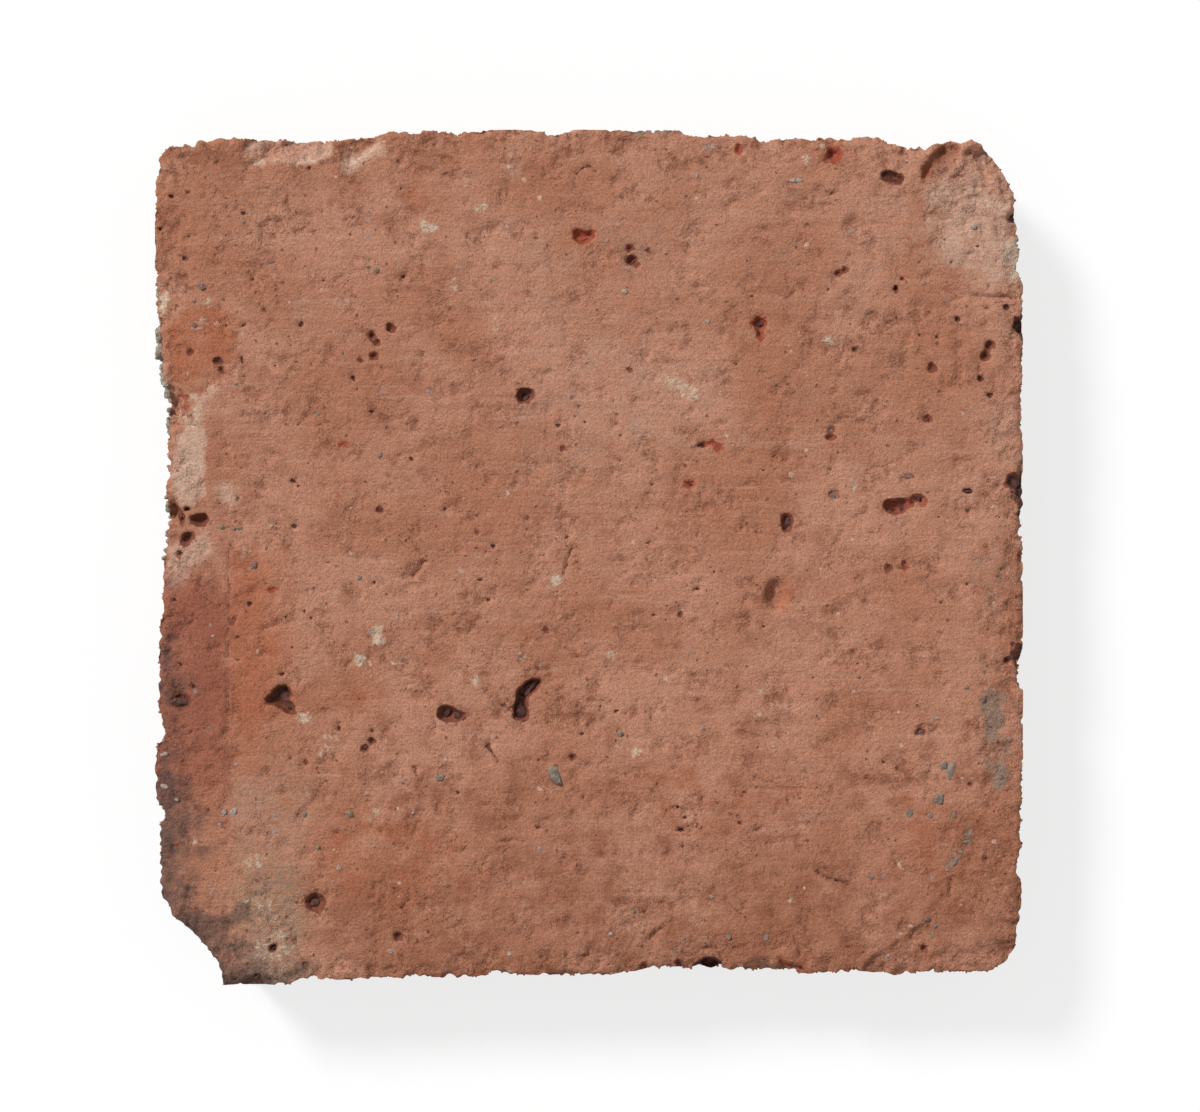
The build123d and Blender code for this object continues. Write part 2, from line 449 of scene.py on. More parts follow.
for index, (px, py, width, height, turn, depth) in enumerate(CHIPS):
    part, q = oval(px, py, width, height, turn, 0.22, 3.2, CHIP_SEED + index)
    bowl = depth * smooth((1.0 - q) / 0.75)
    form[part] = np.maximum(form[part], bowl + 0.25 * (q < 1) * noise(X[part], Y[part], 1.6, 60))
    colour("crumb", part, smooth((1.2 - q) / 0.4))

# The spall at the lower right corner: its step, read from left to right, and the drop below it
SPALL_STEP = (
    (860, 975), (862, 969), (874, 955), (890, 947), (908, 934), (917, 926), (926, 920), (975, 905), (1024, 895),
)
spall = np.array([place(*point) for point in SPALL_STEP])
step_at = np.interp(X + 0.5 * noise(X, Y, 3.0, 71), spall[:, 0], spall[:, 1], left=-150.0)
below = step_at - Y + 0.5 * noise(X, Y, 2.2, 72)
fade = 0.45 * ramp(X, place(945, 0)[0], place(915, 0)[0]) + 0.4 * ramp(X, place(900, 0)[0], place(872, 0)[0])
spall_drop = ramp(below, -0.1, 0.3) * (0.04 + fade) + 0.05 * np.clip(below, 0.0, 12.0)
spall_drop *= X > spall[0, 0]
form += spall_drop + 0.22 * (spall_drop > 0.1) * fractal(X, Y, 4.0, 73, 3)
tint["crumb"] = np.maximum(tint["crumb"], 0.8 * np.clip(spall_drop, 0.0, 1.0))

# ------------------------------------------------------------------ voids
# Pixel, width, height, turn, depth, how dark, how red

VOIDS = (
    (632, 260, 15, 12, 20, 2.0, 0.8, 0.4), (637, 265, 8, 7, 0, 1.6, 0.8, 0.4),
    (630, 248, 10, 9, 0, 1.2, 0.9, 0.3), (648, 250, 8, 6, 0, 0.9, 0.8, 0.4),
    (834, 153, 20, 17, 80, 1.8, 0.3, 1.0), (826, 160, 8, 7, 0, 1.0, 0.8, 0.4),
    (838, 273, 10, 8, 0, 1.3, 1.0, 0.0), (845, 270, 9, 7, 20, 1.2, 1.0, 0.0),
    (990, 345, 12, 13, 0, 1.7, 0.8, 0.0), (986, 356, 11, 14, 0, 1.8, 0.9, 0.0),
    (1014, 481, 20, 18, 0, 2.2, 1.0, 0.0), (179, 554, 9, 10, 0, 1.5, 0.6, 0.5),
    (371, 741, 10, 9, 0, 1.4, 0.9, 0.1), (365, 748, 10, 9, 30, 1.4, 0.9, 0.1),
    (398, 937, 10, 12, 0, 1.4, 0.9, 0.2), (273, 948, 11, 10, 30, 1.6, 0.9, 0.0),
    (391, 328, 11, 13, 20, 1.6, 0.9, 0.3), (372, 336, 11, 10, 0, 1.6, 1.0, 0.1),
    (377, 343, 8, 9, 0, 1.4, 1.0, 0.1), (374, 356, 11, 9, 0, 1.3, 1.0, 0.2),
    (360, 360, 8, 6, -50, 1.0, 0.9, 0.2), (218, 361, 12, 9, 0, 1.5, 1.0, 0.1),
    (221, 370, 7, 10, 0, 1.3, 0.8, 0.3), (190, 352, 8, 8, 0, 1.2, 1.0, 0.0),
    (831, 437, 14, 8, 10, 1.3, 0.8, 0.5), (928, 419, 12, 11, 0, 1.2, 0.8, 0.4),
    (932, 368, 11, 13, 0, 1.3, 1.0, 0.0), (739, 149, 9, 12, 0, 1.2, 0.5, 0.9),
    (690, 484, 14, 9, 10, 1.0, 0.4, 0.9), (704, 444, 9, 8, 0, 1.1, 0.8, 0.6),
    (712, 442, 9, 7, 20, 1.0, 0.7, 0.7), (718, 447, 10, 9, 0, 0.9, 0.3, 1.0),
    (889, 568, 10, 9, 0, 1.2, 1.0, 0.0), (905, 565, 8, 12, 0, 1.2, 0.8, 0.5),
    (920, 732, 11, 10, 0, 1.2, 1.0, 0.0), (343, 444, 13, 7, 10, 0.8, 0.0, 1.0),
    (273, 590, 12, 8, 10, 1.1, 0.6, 0.6), (380, 510, 9, 8, 0, 1.1, 0.9, 0.0),
    (563, 448, 8, 9, 0, 1.1, 0.9, 0.3), (306, 762, 7, 8, 0, 1.0, 0.9, 0.2),
    (415, 770, 6, 9, 0, 1.0, 0.8, 0.4), (572, 757, 9, 8, 0, 1.1, 0.9, 0.2),
    (233, 621, 7, 12, -20, 1.0, 0.8, 0.3), (546, 630, 8, 8, 0, 1.0, 0.9, 0.1),
    (477, 532, 7, 6, 0, 0.9, 1.0, 0.0), (971, 784, 7, 6, 0, 1.3, 1.0, 0.0),
    (629, 370, 7, 7, 0, 1.2, 1.0, 0.0), (680, 615, 7, 7, 0, 1.0, 0.9, 0.3),
    (834, 495, 15, 12, -20, 1.0, 0.7, 0.0), (831, 430, 11, 9, 0, 0.9, 0.6, 0.0),
    (908, 476, 15, 7, 0, 0.9, 0.7, 0.0), (903, 279, 7, 6, 0, 0.9, 0.4, 0.7),
    (896, 289, 7, 8, 0, 1.1, 1.0, 0.1), (926, 245, 8, 5, 20, 0.6, 0.1, 0.5),
    (951, 252, 4, 4, 0, 0.5, 0.1, 0.8), (187, 509, 8, 6, 0, 1.0, 0.9, 0.1),
    (929, 172, 10, 7, 0, 0.9, 0.4, 0.7), (984, 186, 5, 4, 0, 0.6, 0.8, 0.2),
)
for index, void in enumerate(VOIDS):
    sink(*void, seed=index)

# The larger voids, by the corners of their mouths: depth, how dark, how red
BASINS = (
    (((263, 700), (268, 696), (272, 691), (278, 686), (286, 684), (289, 688), (293, 695), (288, 700), (293, 706),
      (295, 713), (292, 715), (286, 712), (280, 708), (275, 706), (268, 704)), 2.9, 1.0, 0.0),
    (((533, 678), (541, 680), (540, 686), (534, 693), (529, 697), (528, 705), (529, 715), (526, 721), (517, 721),
      (513, 717), (513, 707), (516, 700), (516, 692), (521, 686), (526, 681)), 3.2, 1.0, 0.1),
    (((437, 710), (441, 706), (449, 705), (453, 707), (458, 711), (465, 713), (465, 718), (460, 721), (452, 722),
      (444, 722), (438, 718)), 2.2, 1.0, 0.2),
    (((883, 506), (885, 501), (890, 499), (898, 498), (907, 499), (911, 501), (907, 506), (907, 511), (901, 514),
      (895, 515), (889, 513), (885, 510)), 2.3, 0.8, 0.45),
    (((911, 494), (920, 494), (925, 497), (927, 503), (923, 508), (917, 506), (911, 508), (908, 505)), 1.6, 0.6, 0.6),
    (((881, 173), (885, 170), (892, 170), (897, 173), (904, 175), (905, 180), (899, 184), (891, 183), (884, 181),
      (880, 178)), 1.5, 1.6, 0.0),
    (((188, 519), (192, 515), (199, 514), (205, 514), (209, 517), (208, 523), (202, 527), (194, 525)), 2.4, 1.0, 0.0),
    (((180, 536), (186, 532), (192, 531), (193, 536), (190, 542), (186, 546), (181, 545), (179, 540)), 2.1, 1.3, 0.0),
    (((172, 503), (176, 504), (181, 510), (184, 518), (183, 526), (180, 522), (177, 513)), 4.0, 1.0, 0.0),
    (((175, 389), (181, 388), (187, 396), (191, 404), (188, 412), (183, 413), (180, 404), (176, 396)), 1.6, 0.3, 0.5),
    (((690, 976), (693, 967), (699, 961), (707, 958), (716, 959), (722, 964), (725, 976)), 7.0, 1.9, 0.0),
    (((639, 968), (641, 963), (647, 963), (650, 968)), 2.4, 1.2, 0.1),
    (((675, 962), (678, 958), (683, 963), (684, 969), (679, 969)), 3.0, 1.4, 0.0),
    (((776, 958), (781, 957), (788, 962), (806, 967), (808, 974), (790, 974), (780, 966)), 2.2, 0.5, 0.4),
    (((919, 946), (925, 943), (931, 947), (927, 954), (921, 953)), 2.6, 0.6, 0.3),
    (((1009, 219), (1014, 213), (1020, 211), (1022, 222), (1015, 222)), 4.0, 1.9, 0.0),
    (((572, 229), (578, 228), (584, 231), (590, 229), (595, 232), (594, 238), (588, 243), (581, 245), (576, 241),
      (573, 236)), 1.7, 0.6, 0.8),
    (((517, 392), (522, 388), (530, 388), (534, 392), (533, 398), (528, 402), (520, 403), (516, 399)), 2.4, 1.0, 0.1),
    (((751, 319), (758, 316), (766, 319), (767, 325), (763, 330), (765, 336), (760, 341), (756, 336), (757, 330),
      (752, 326)), 1.9, 0.7, 0.7),
    (((781, 514), (787, 513), (793, 515), (793, 522), (791, 528), (790, 532), (783, 532), (781, 526)), 1.8, 1.0, 0.1),
    (((170, 701), (173, 695), (178, 692), (186, 693), (191, 699), (190, 706), (182, 710), (173, 707)), 1.6, 1.0, 0.0),
    (((305, 899), (311, 895), (316, 893), (321, 896), (326, 900), (324, 907), (318, 913), (310, 911), (306, 906)),
     1.9, 1.0, 0.0),
)
for index, mouth in enumerate(BASINS):
    basin(*mouth, seed=index)

# Shallow chips, by their corners: drop
FLAKES = (
    (((241, 134), (243, 150), (249, 163), (256, 166), (266, 162), (280, 160), (292, 163), (305, 164), (318, 160),
      (328, 157), (333, 150), (333, 134)), 0.9),
    (((334, 134), (335, 152), (341, 159), (349, 166), (358, 163), (366, 156), (376, 147), (388, 139), (388, 130)),
     0.9),
    (((920, 171), (927, 159), (934, 151), (943, 143), (950, 134), (961, 134), (963, 147), (959, 155), (952, 159),
      (955, 166), (950, 170), (941, 166), (934, 169), (929, 178), (925, 182), (920, 178)), 1.5),
    (((979, 140), (984, 152), (990, 166), (996, 178), (1001, 195), (1006, 206), (1020, 200), (1010, 160),
      (995, 140)), 0.8),
)
for index, mouth in enumerate(FLAKES):
    flake(*mouth, seed=FLAKE_SEED + index)

# The smooth dent, which a finger or a lump of clay left: steep on its left, easing out to the right. The brown on its
# steep left is painted shade and the orange on its gentle right slope is painted light.
part, q = oval(778, 595, 32, 46, -14, 0.1, 5.0, 99)
slant = ramp(X[part] + 0.25 * (Y[part] - place(0, 595)[1]), place(796, 0)[0], place(770, 0)[0])
form[part] = np.maximum(form[part], 3.0 * smooth((1.0 - q) / 0.7) * (0.12 + 0.88 * slant))
colour("warm", part, 0.75 * smooth((1.15 - q) / 0.5) * (1.0 - slant))
colour("hollow", part, 0.35 * smooth((1.0 - q) / 0.4) * slant)

# ------------------------------------------------------------------ small pits
# Pixel, width, height, turn, depth, how dark

PRICKS = (
    (309, 168, 5, 5, 0, 0.6, 0.9), (249, 604, 9, 6, 35, 0.6, 0.9), (294, 526, 11, 6, 0, 0.7, 1.0),
    (293, 481, 9, 5, -45, 0.6, 0.9), (298, 486, 5, 4, 0, 0.5, 0.9), (372, 411, 9, 6, 20, 0.7, 0.9),
    (558, 425, 7, 5, 0, 0.6, 0.8), (585, 422, 5, 5, 0, 0.5, 0.8), (579, 405, 7, 4, 0, 0.5, 0.7),
    (541, 382, 8, 4, 30, 0.5, 0.7), (620, 435, 5, 5, 0, 0.5, 0.8), (620, 460, 4, 4, 0, 0.5, 0.8),
    (653, 460, 4, 4, 0, 0.5, 0.8), (700, 497, 4, 12, 0, 0.4, 0.5), (652, 484, 7, 5, 30, 0.5, 0.8),
    (659, 480, 6, 4, 40, 0.5, 0.7), (493, 546, 8, 5, 30, 0.7, 0.9), (527, 518, 6, 9, 0, 0.7, 0.7),
    (480, 580, 7, 5, 20, 0.6, 0.9), (488, 600, 8, 5, 20, 0.6, 0.9), (454, 614, 8, 5, 15, 0.6, 0.8),
    (653, 615, 8, 5, 0, 0.6, 0.9), (698, 589, 8, 4, -10, 0.6, 0.7), (714, 572, 4, 4, 0, 0.6, 1.0),
    (711, 567, 3, 3, 0, 0.4, 0.9), (630, 353, 10, 4, 0, 0.4, 0.5), (570, 144, 6, 4, 0, 0.5, 0.8),
    (665, 149, 8, 4, 0, 0.5, 0.7), (701, 446, 9, 7, 0, 0.7, 0.7), (990, 395, 11, 7, 0, 0.8, 0.9),
    (981, 378, 9, 9, 0, 0.8, 0.9), (855, 349, 7, 8, 0, 0.8, 0.9), (937, 337, 6, 5, 0, 0.6, 0.9),
    (920, 335, 4, 4, 0, 0.5, 0.9), (1007, 307, 10, 8, 0, 0.9, 1.0), (987, 308, 8, 5, 0, 0.7, 0.9),
    (958, 319, 8, 7, 0, 0.8, 0.9), (896, 288, 6, 8, 0, 0.7, 0.9), (902, 278, 6, 5, 0, 0.6, 0.9),
    (828, 289, 5, 5, 0, 0.6, 0.8), (752, 296, 5, 5, 0, 0.5, 0.8), (785, 352, 5, 5, 0, 0.5, 0.8),
    (736, 364, 6, 5, 0, 0.6, 0.8), (834, 193, 15, 5, 15, 0.5, 0.5), (968, 491, 16, 7, 0, 0.9, 0.9),
    (968, 511, 7, 4, 0, 0.5, 0.8), (939, 517, 4, 4, 0, 0.5, 0.8), (941, 603, 6, 5, 0, 0.6, 0.8),
    (763, 470, 4, 4, 0, 0.5, 0.8), (1007, 661, 9, 10, 0, 0.9, 0.8), (281, 674, 9, 5, 5, 0.7, 0.9),
    (211, 649, 12, 9, 20, 0.6, 0.3), (237, 660, 6, 4, 0, 0.5, 0.9), (237, 637, 8, 4, 0, 0.5, 0.7),
    (237, 499, 5, 8, 0, 0.6, 0.7), (228, 446, 8, 4, 0, 0.4, 0.4), (265, 414, 6, 4, -30, 0.5, 0.9),
    (582, 734, 8, 4, 0, 0.6, 0.8), (616, 711, 8, 4, 10, 0.6, 0.9), (619, 730, 9, 7, 0, 0.5, 0.4),
    (504, 705, 9, 5, 0, 0.6, 0.8), (488, 746, 9, 8, 0, 0.8, 0.6), (538, 828, 7, 5, 0, 0.6, 0.8),
    (494, 819, 4, 4, 0, 0.5, 0.8), (458, 793, 6, 5, 0, 0.6, 0.8), (680, 830, 11, 6, 0, 0.8, 0.8),
    (685, 818, 6, 5, 0, 0.6, 0.9), (683, 846, 5, 5, 0, 0.6, 0.9), (678, 807, 5, 5, 0, 0.6, 0.9),
    (883, 762, 6, 4, 0, 0.5, 0.9), (800, 799, 6, 4, 0, 0.5, 0.8), (818, 718, 7, 5, -40, 0.6, 0.8),
    (740, 823, 9, 5, 0, 0.6, 0.7), (369, 801, 9, 6, 0, 0.6, 0.4), (381, 831, 7, 6, 0, 0.5, 0.5),
    (577, 933, 4, 4, 0, 0.5, 0.9), (428, 932, 4, 4, 0, 0.5, 1.0), (468, 971, 4, 4, 0, 0.5, 0.9),
    (350, 234, 5, 4, -50, 0.5, 1.0), (393, 207, 4, 4, -40, 0.4, 0.9), (462, 141, 3, 3, 0, 0.4, 0.9),
    (186, 509, 9, 5, 10, 0.7, 0.8), (339, 729, 5, 9, 0, 0.6, 0.8), (372, 731, 8, 6, 0, 0.6, 0.6),
    (290, 758, 5, 6, 0, 0.6, 0.7), (208, 728, 8, 6, 0, 0.5, 0.6), (318, 773, 7, 3, 0, 0.4, 0.6),
    (337, 761, 4, 4, 0, 0.5, 0.8), (355, 783, 4, 4, 0, 0.5, 0.7), (208, 811, 7, 6, 60, 0.6, 0.7),
    (394, 889, 5, 4, 0, 0.5, 0.7), (378, 873, 6, 3, 0, 0.4, 0.6), (403, 907, 5, 9, -50, 0.5, 0.7),
    (347, 923, 4, 6, 20, 0.5, 0.8), (329, 923, 5, 3, 0, 0.4, 0.8), (294, 941, 7, 9, 60, 0.6, 0.7),
    (257, 977, 9, 8, 0, 0.8, 0.8), (304, 611, 5, 5, 0, 0.5, 0.9), (311, 618, 5, 6, -40, 0.5, 0.9),
    (285, 617, 3, 3, 0, 0.4, 1.0), (292, 647, 5, 3, 20, 0.4, 0.9), (374, 583, 5, 5, 0, 0.5, 1.0),
    (445, 509, 6, 5, 30, 0.6, 0.8), (411, 459, 5, 7, 35, 0.5, 0.9), (365, 482, 6, 4, 0, 0.4, 0.7),
    (328, 562, 5, 3, 0, 0.4, 0.8), (174, 600, 6, 5, 0, 0.6, 0.9), (193, 686, 6, 6, 30, 0.6, 0.9),
    (188, 192, 8, 5, 0, 0.7, 0.6), (171, 196, 8, 6, 0, 0.8, 0.9), (243, 213, 7, 6, -50, 0.7, 0.8),
    (184, 258, 7, 7, 30, 0.7, 0.8), (159, 229, 5, 5, 0, 0.6, 1.0), (208, 236, 4, 4, 0, 0.4, 0.8),
    (188, 236, 5, 4, 0, 0.4, 0.8), (252, 279, 4, 6, 0, 0.5, 0.8), (283, 282, 5, 8, 0, 0.5, 0.5),
    (323, 280, 4, 4, 0, 0.4, 0.9), (301, 324, 8, 8, 50, 0.7, 0.8), (243, 325, 9, 5, 25, 0.7, 0.9),
    (226, 325, 5, 5, 0, 0.5, 0.8), (264, 310, 5, 8, 40, 0.6, 0.6), (259, 304, 3, 3, 0, 0.4, 1.0),
    (275, 365, 3, 3, 0, 0.4, 1.0), (311, 364, 5, 7, 0, 0.5, 0.5), (308, 350, 4, 4, 0, 0.4, 1.0),
    (318, 353, 4, 4, 0, 0.4, 1.0), (290, 345, 4, 4, 0, 0.4, 0.8), (403, 276, 5, 7, -20, 0.5, 0.8),
    (332, 206, 4, 4, 0, 0.4, 0.8), (316, 189, 5, 4, 0, 0.4, 0.8), (296, 177, 4, 5, 0, 0.4, 0.5),
    (353, 378, 9, 6, -45, 0.9, 0.9), (341, 387, 4, 4, 0, 0.4, 0.8), (357, 389, 4, 6, 0, 0.5, 0.8),
)
for index, pit in enumerate(PRICKS):
    prick(*pit, seed=PRICK_SEED + index)

# Seeded pits, a millimetre or less, scattered evenly over the face
# Their dark colour is partly the clay's iron and partly painted shade
rng = np.random.default_rng(9)
for index in range(1000):
    x = rng.uniform(-98.0, 98.0)
    y = rng.uniform(-96.0, 96.0)
    width = 0.5 + 0.8 * rng.random()**3
    depth = (0.25 + 0.4 * rng.random()) * width
    part = window(x, y, 1.4)
    angle = rng.uniform(0, math.pi)
    dx = X[part] - x
    dy = Y[part] - y
    u = dx * math.cos(angle) + dy * math.sin(angle)
    v = dy * math.cos(angle) - dx * math.sin(angle)
    q = np.hypot(u, v * rng.uniform(1.0, 1.9)) / (width / 2)
    fine[part] = np.maximum(fine[part], depth * smooth((1.1 - q) / 0.8))
    colour("pit", part, rng.uniform(0.25, 0.75) * smooth((1.2 - q) / 0.5))

# ------------------------------------------------------------------ scratches and cracks
# Line of pixels, half width and depth in millimetres, how dark

STROKES = (
    (((954, 300), (966, 296), (974, 295)), 0.5, 0.4, 0.3),
    (((974, 295), (990, 297), (1004, 296), (1018, 299)), 0.7, 0.8, 0.35),
    (((817, 873), (826, 878), (838, 881), (848, 884)), 0.6, 1.0, 0.45),
    (((846, 884), (854, 890), (858, 895)), 0.9, 0.6, 0.1),
    (((726, 899), (733, 908), (741, 914), (748, 921)), 0.35, 0.5, 0.5),
    (((650, 940), (656, 933), (664, 927)), 0.7, 0.6, 0.1),
    (((795, 940), (799, 945), (801, 956)), 0.8, 0.7, 0.15), (((704, 948), (716, 949), (724, 958)), 0.6, 0.8, 0.3),
    (((742, 576), (752, 583), (765, 589)), 0.35, 0.35, 0.6),
    (((571, 549), (568, 560), (563, 576)), 0.6, 0.7, 0.6),
    (((413, 576), (419, 568), (424, 561)), 1.0, 1.0, 0.3), (((422, 564), (427, 560)), 0.6, 0.9, 0.7),
    (((556, 598), (549, 598), (542, 599)), 0.35, 0.4, 0.4),
    (((576, 174), (581, 168), (590, 166), (596, 172)), 0.45, 0.6, 0.7),
    (((488, 748), (494, 755), (499, 762)), 0.5, 0.6, 0.7),
    (((867, 470), (880, 467), (893, 463)), 0.5, 0.5, 0.4),
    (((747, 789), (800, 788), (865, 788)), 0.35, 0.3, 0.4),
    (((228, 552), (229, 600), (228, 660), (228, 730)), 0.4, 0.3, 0.5),
    (((951, 880), (950, 896)), 0.7, 0.8, 0.5),
    (((295, 897), (306, 902)), 0.35, 0.4, 0.8),
    (((498, 843), (512, 840), (526, 841)), 0.35, 0.35, 0.5),
    (((240, 355), (243, 364)), 0.3, 0.4, 0.9),
    (((183, 735), (192, 732), (204, 727)), 0.3, 0.35, 0.7),
    (((279, 795), (290, 789), (306, 792), (330, 791)), 0.35, 0.35, 0.4),
    (((173, 688), (180, 684)), 0.3, 0.4, 0.9),
    (((178, 157), (192, 155), (206, 156)), 0.5, 0.4, 0.3),
    (((399, 908), (407, 901), (410, 899)), 0.4, 0.5, 0.6),
    (((168, 424), (186, 424), (198, 425)), 0.4, 0.4, 0.5),
    (((378, 460), (400, 456), (423, 450)), 0.3, 0.3, 0.4),
    (((391, 508), (401, 507)), 0.3, 0.3, 0.4),
    (((665, 697), (655, 712), (647, 727)), 0.4, 0.3, 0.25),
    (((566, 657), (585, 658), (597, 648)), 0.45, 0.4, 0.3),
    (((528, 672), (536, 668), (546, 672)), 0.35, 0.35, 0.3),
)
for index, mark in enumerate(STROKES):
    stroke(*mark, seed=index)

# ------------------------------------------------------------------ fine relief

# Crumbly ground: near the edges, over the lower strip and in the listed rough patches
ROUGH_PATCHES = (
    (640, 925, 150, 90, 0, 0.8), (740, 945, 200, 50, 0, 0.8), (975, 860, 110, 200, 0, 0.9),
    (255, 230, 150, 110, 0, 0.5), (560, 690, 170, 160, 0, 0.5), (690, 830, 60, 80, 0, 0.9),
    (460, 640, 330, 90, 0, 0.35), (190, 780, 70, 90, 0, 0.8), (270, 930, 110, 90, 0, 0.8),
    (960, 190, 110, 90, 0, 0.9), (990, 730, 60, 130, 0, 0.8), (890, 330, 260, 120, 0, 0.4),
    (800, 160, 120, 50, 0, 0.5), (555, 740, 60, 140, 0, 0.4), (450, 900, 260, 90, 0, 0.35),
)
for index, (px, py, width, height, turn, amount) in enumerate(ROUGH_PATCHES):
    stain("crumb", px, py, width, height, turn, amount, 0.4, 0.9, ROUGH_SEED + index)
tint["crumb"] = np.maximum(tint["crumb"], 0.85 * ramp(EDGE + 2.0 * noise(X, Y, 6.0, 81), 8.0, 1.0))
crumb = tint["crumb"]
lumps = fractal(X, Y, 2.6, 82, 4, 0.6)
fine += crumb * (0.10 + 0.42 * np.abs(lumps)) + 0.11 * fractal(X, Y, 3.4, 83, 4, 0.62)
torn = ramp(fractal(X, Y, 7.0, 87, 3, 0.6) + 0.5 * crumb, 0.0, 0.55)
fine += (0.05 + 0.24 * torn) * np.clip(fractal(X, Y, 1.9, 86, 3, 0.6) - 0.2, 0.0, 0.8)
tint["torn"] = torn

# Small ledges where the clay tore, crisp on the rough ground and faint on the smooth. The deep tint laid in their
# sunk nicks is painted shade.
rugged = 0.12 + 0.9 * torn + 0.35 * crumb
ledges = ramp(fractal(X, Y, 5.0, 95, 4, 0.6), 0.0, 0.2)
nicks = ramp(fractal(X, Y, 2.4, 96, 4, 0.6), 0.05, 0.3)
fine += rugged * (0.26 * ledges + 0.2 * nicks)
tint["deep"] = np.maximum(tint["deep"], 0.5 * rugged * nicks)

# The lines that striking off left along X, with the two strong groups
drag = 0.05 * noise(X, Y, 1.6, 84, 12.0) + 0.03 * noise(X, Y, 0.8, 85, 14.0)
fine += (1.0 - 0.6 * crumb) * drag
# The single lines among them: pixel row, where each starts and ends, and its depth in millimetres
DRAG_LINES = (
    (401, 280, 470, 0.10), (408, 300, 700, 0.08), (538, 290, 640, 0.12), (544, 250, 560, 0.10), (551, 420, 700, 0.07),
    (788, 700, 880, 0.10), (372, 430, 560, 0.06), (300, 400, 640, 0.05), (622, 600, 760, 0.05),
)
# The relief may stand this far out of the face; beyond that, all of it is laid lower
RAISED_MOST = 0.25
for py, x_from, x_to, amount in DRAG_LINES:
    line_y = place(0, py)[1] + 0.5 * noise(X, Y, 14.0, py)
    start = place(x_from, 0)[0]
    end = place(x_to, 0)[0]
    along = ramp(X, start, start + 8) * ramp(X, end, end - 8)
    fine += amount * along * (np.exp(-((Y - line_y) / 0.35)**2) - 0.8 * np.exp(-((Y - line_y - 0.8) / 0.4)**2))
if fine.min() < -RAISED_MOST:
    fine -= fine.min()

# ------------------------------------------------------------------ colour patches
# Tint, and for each of its marks the pixel, width, height, turn, amount, rim roughness and rim
# softness

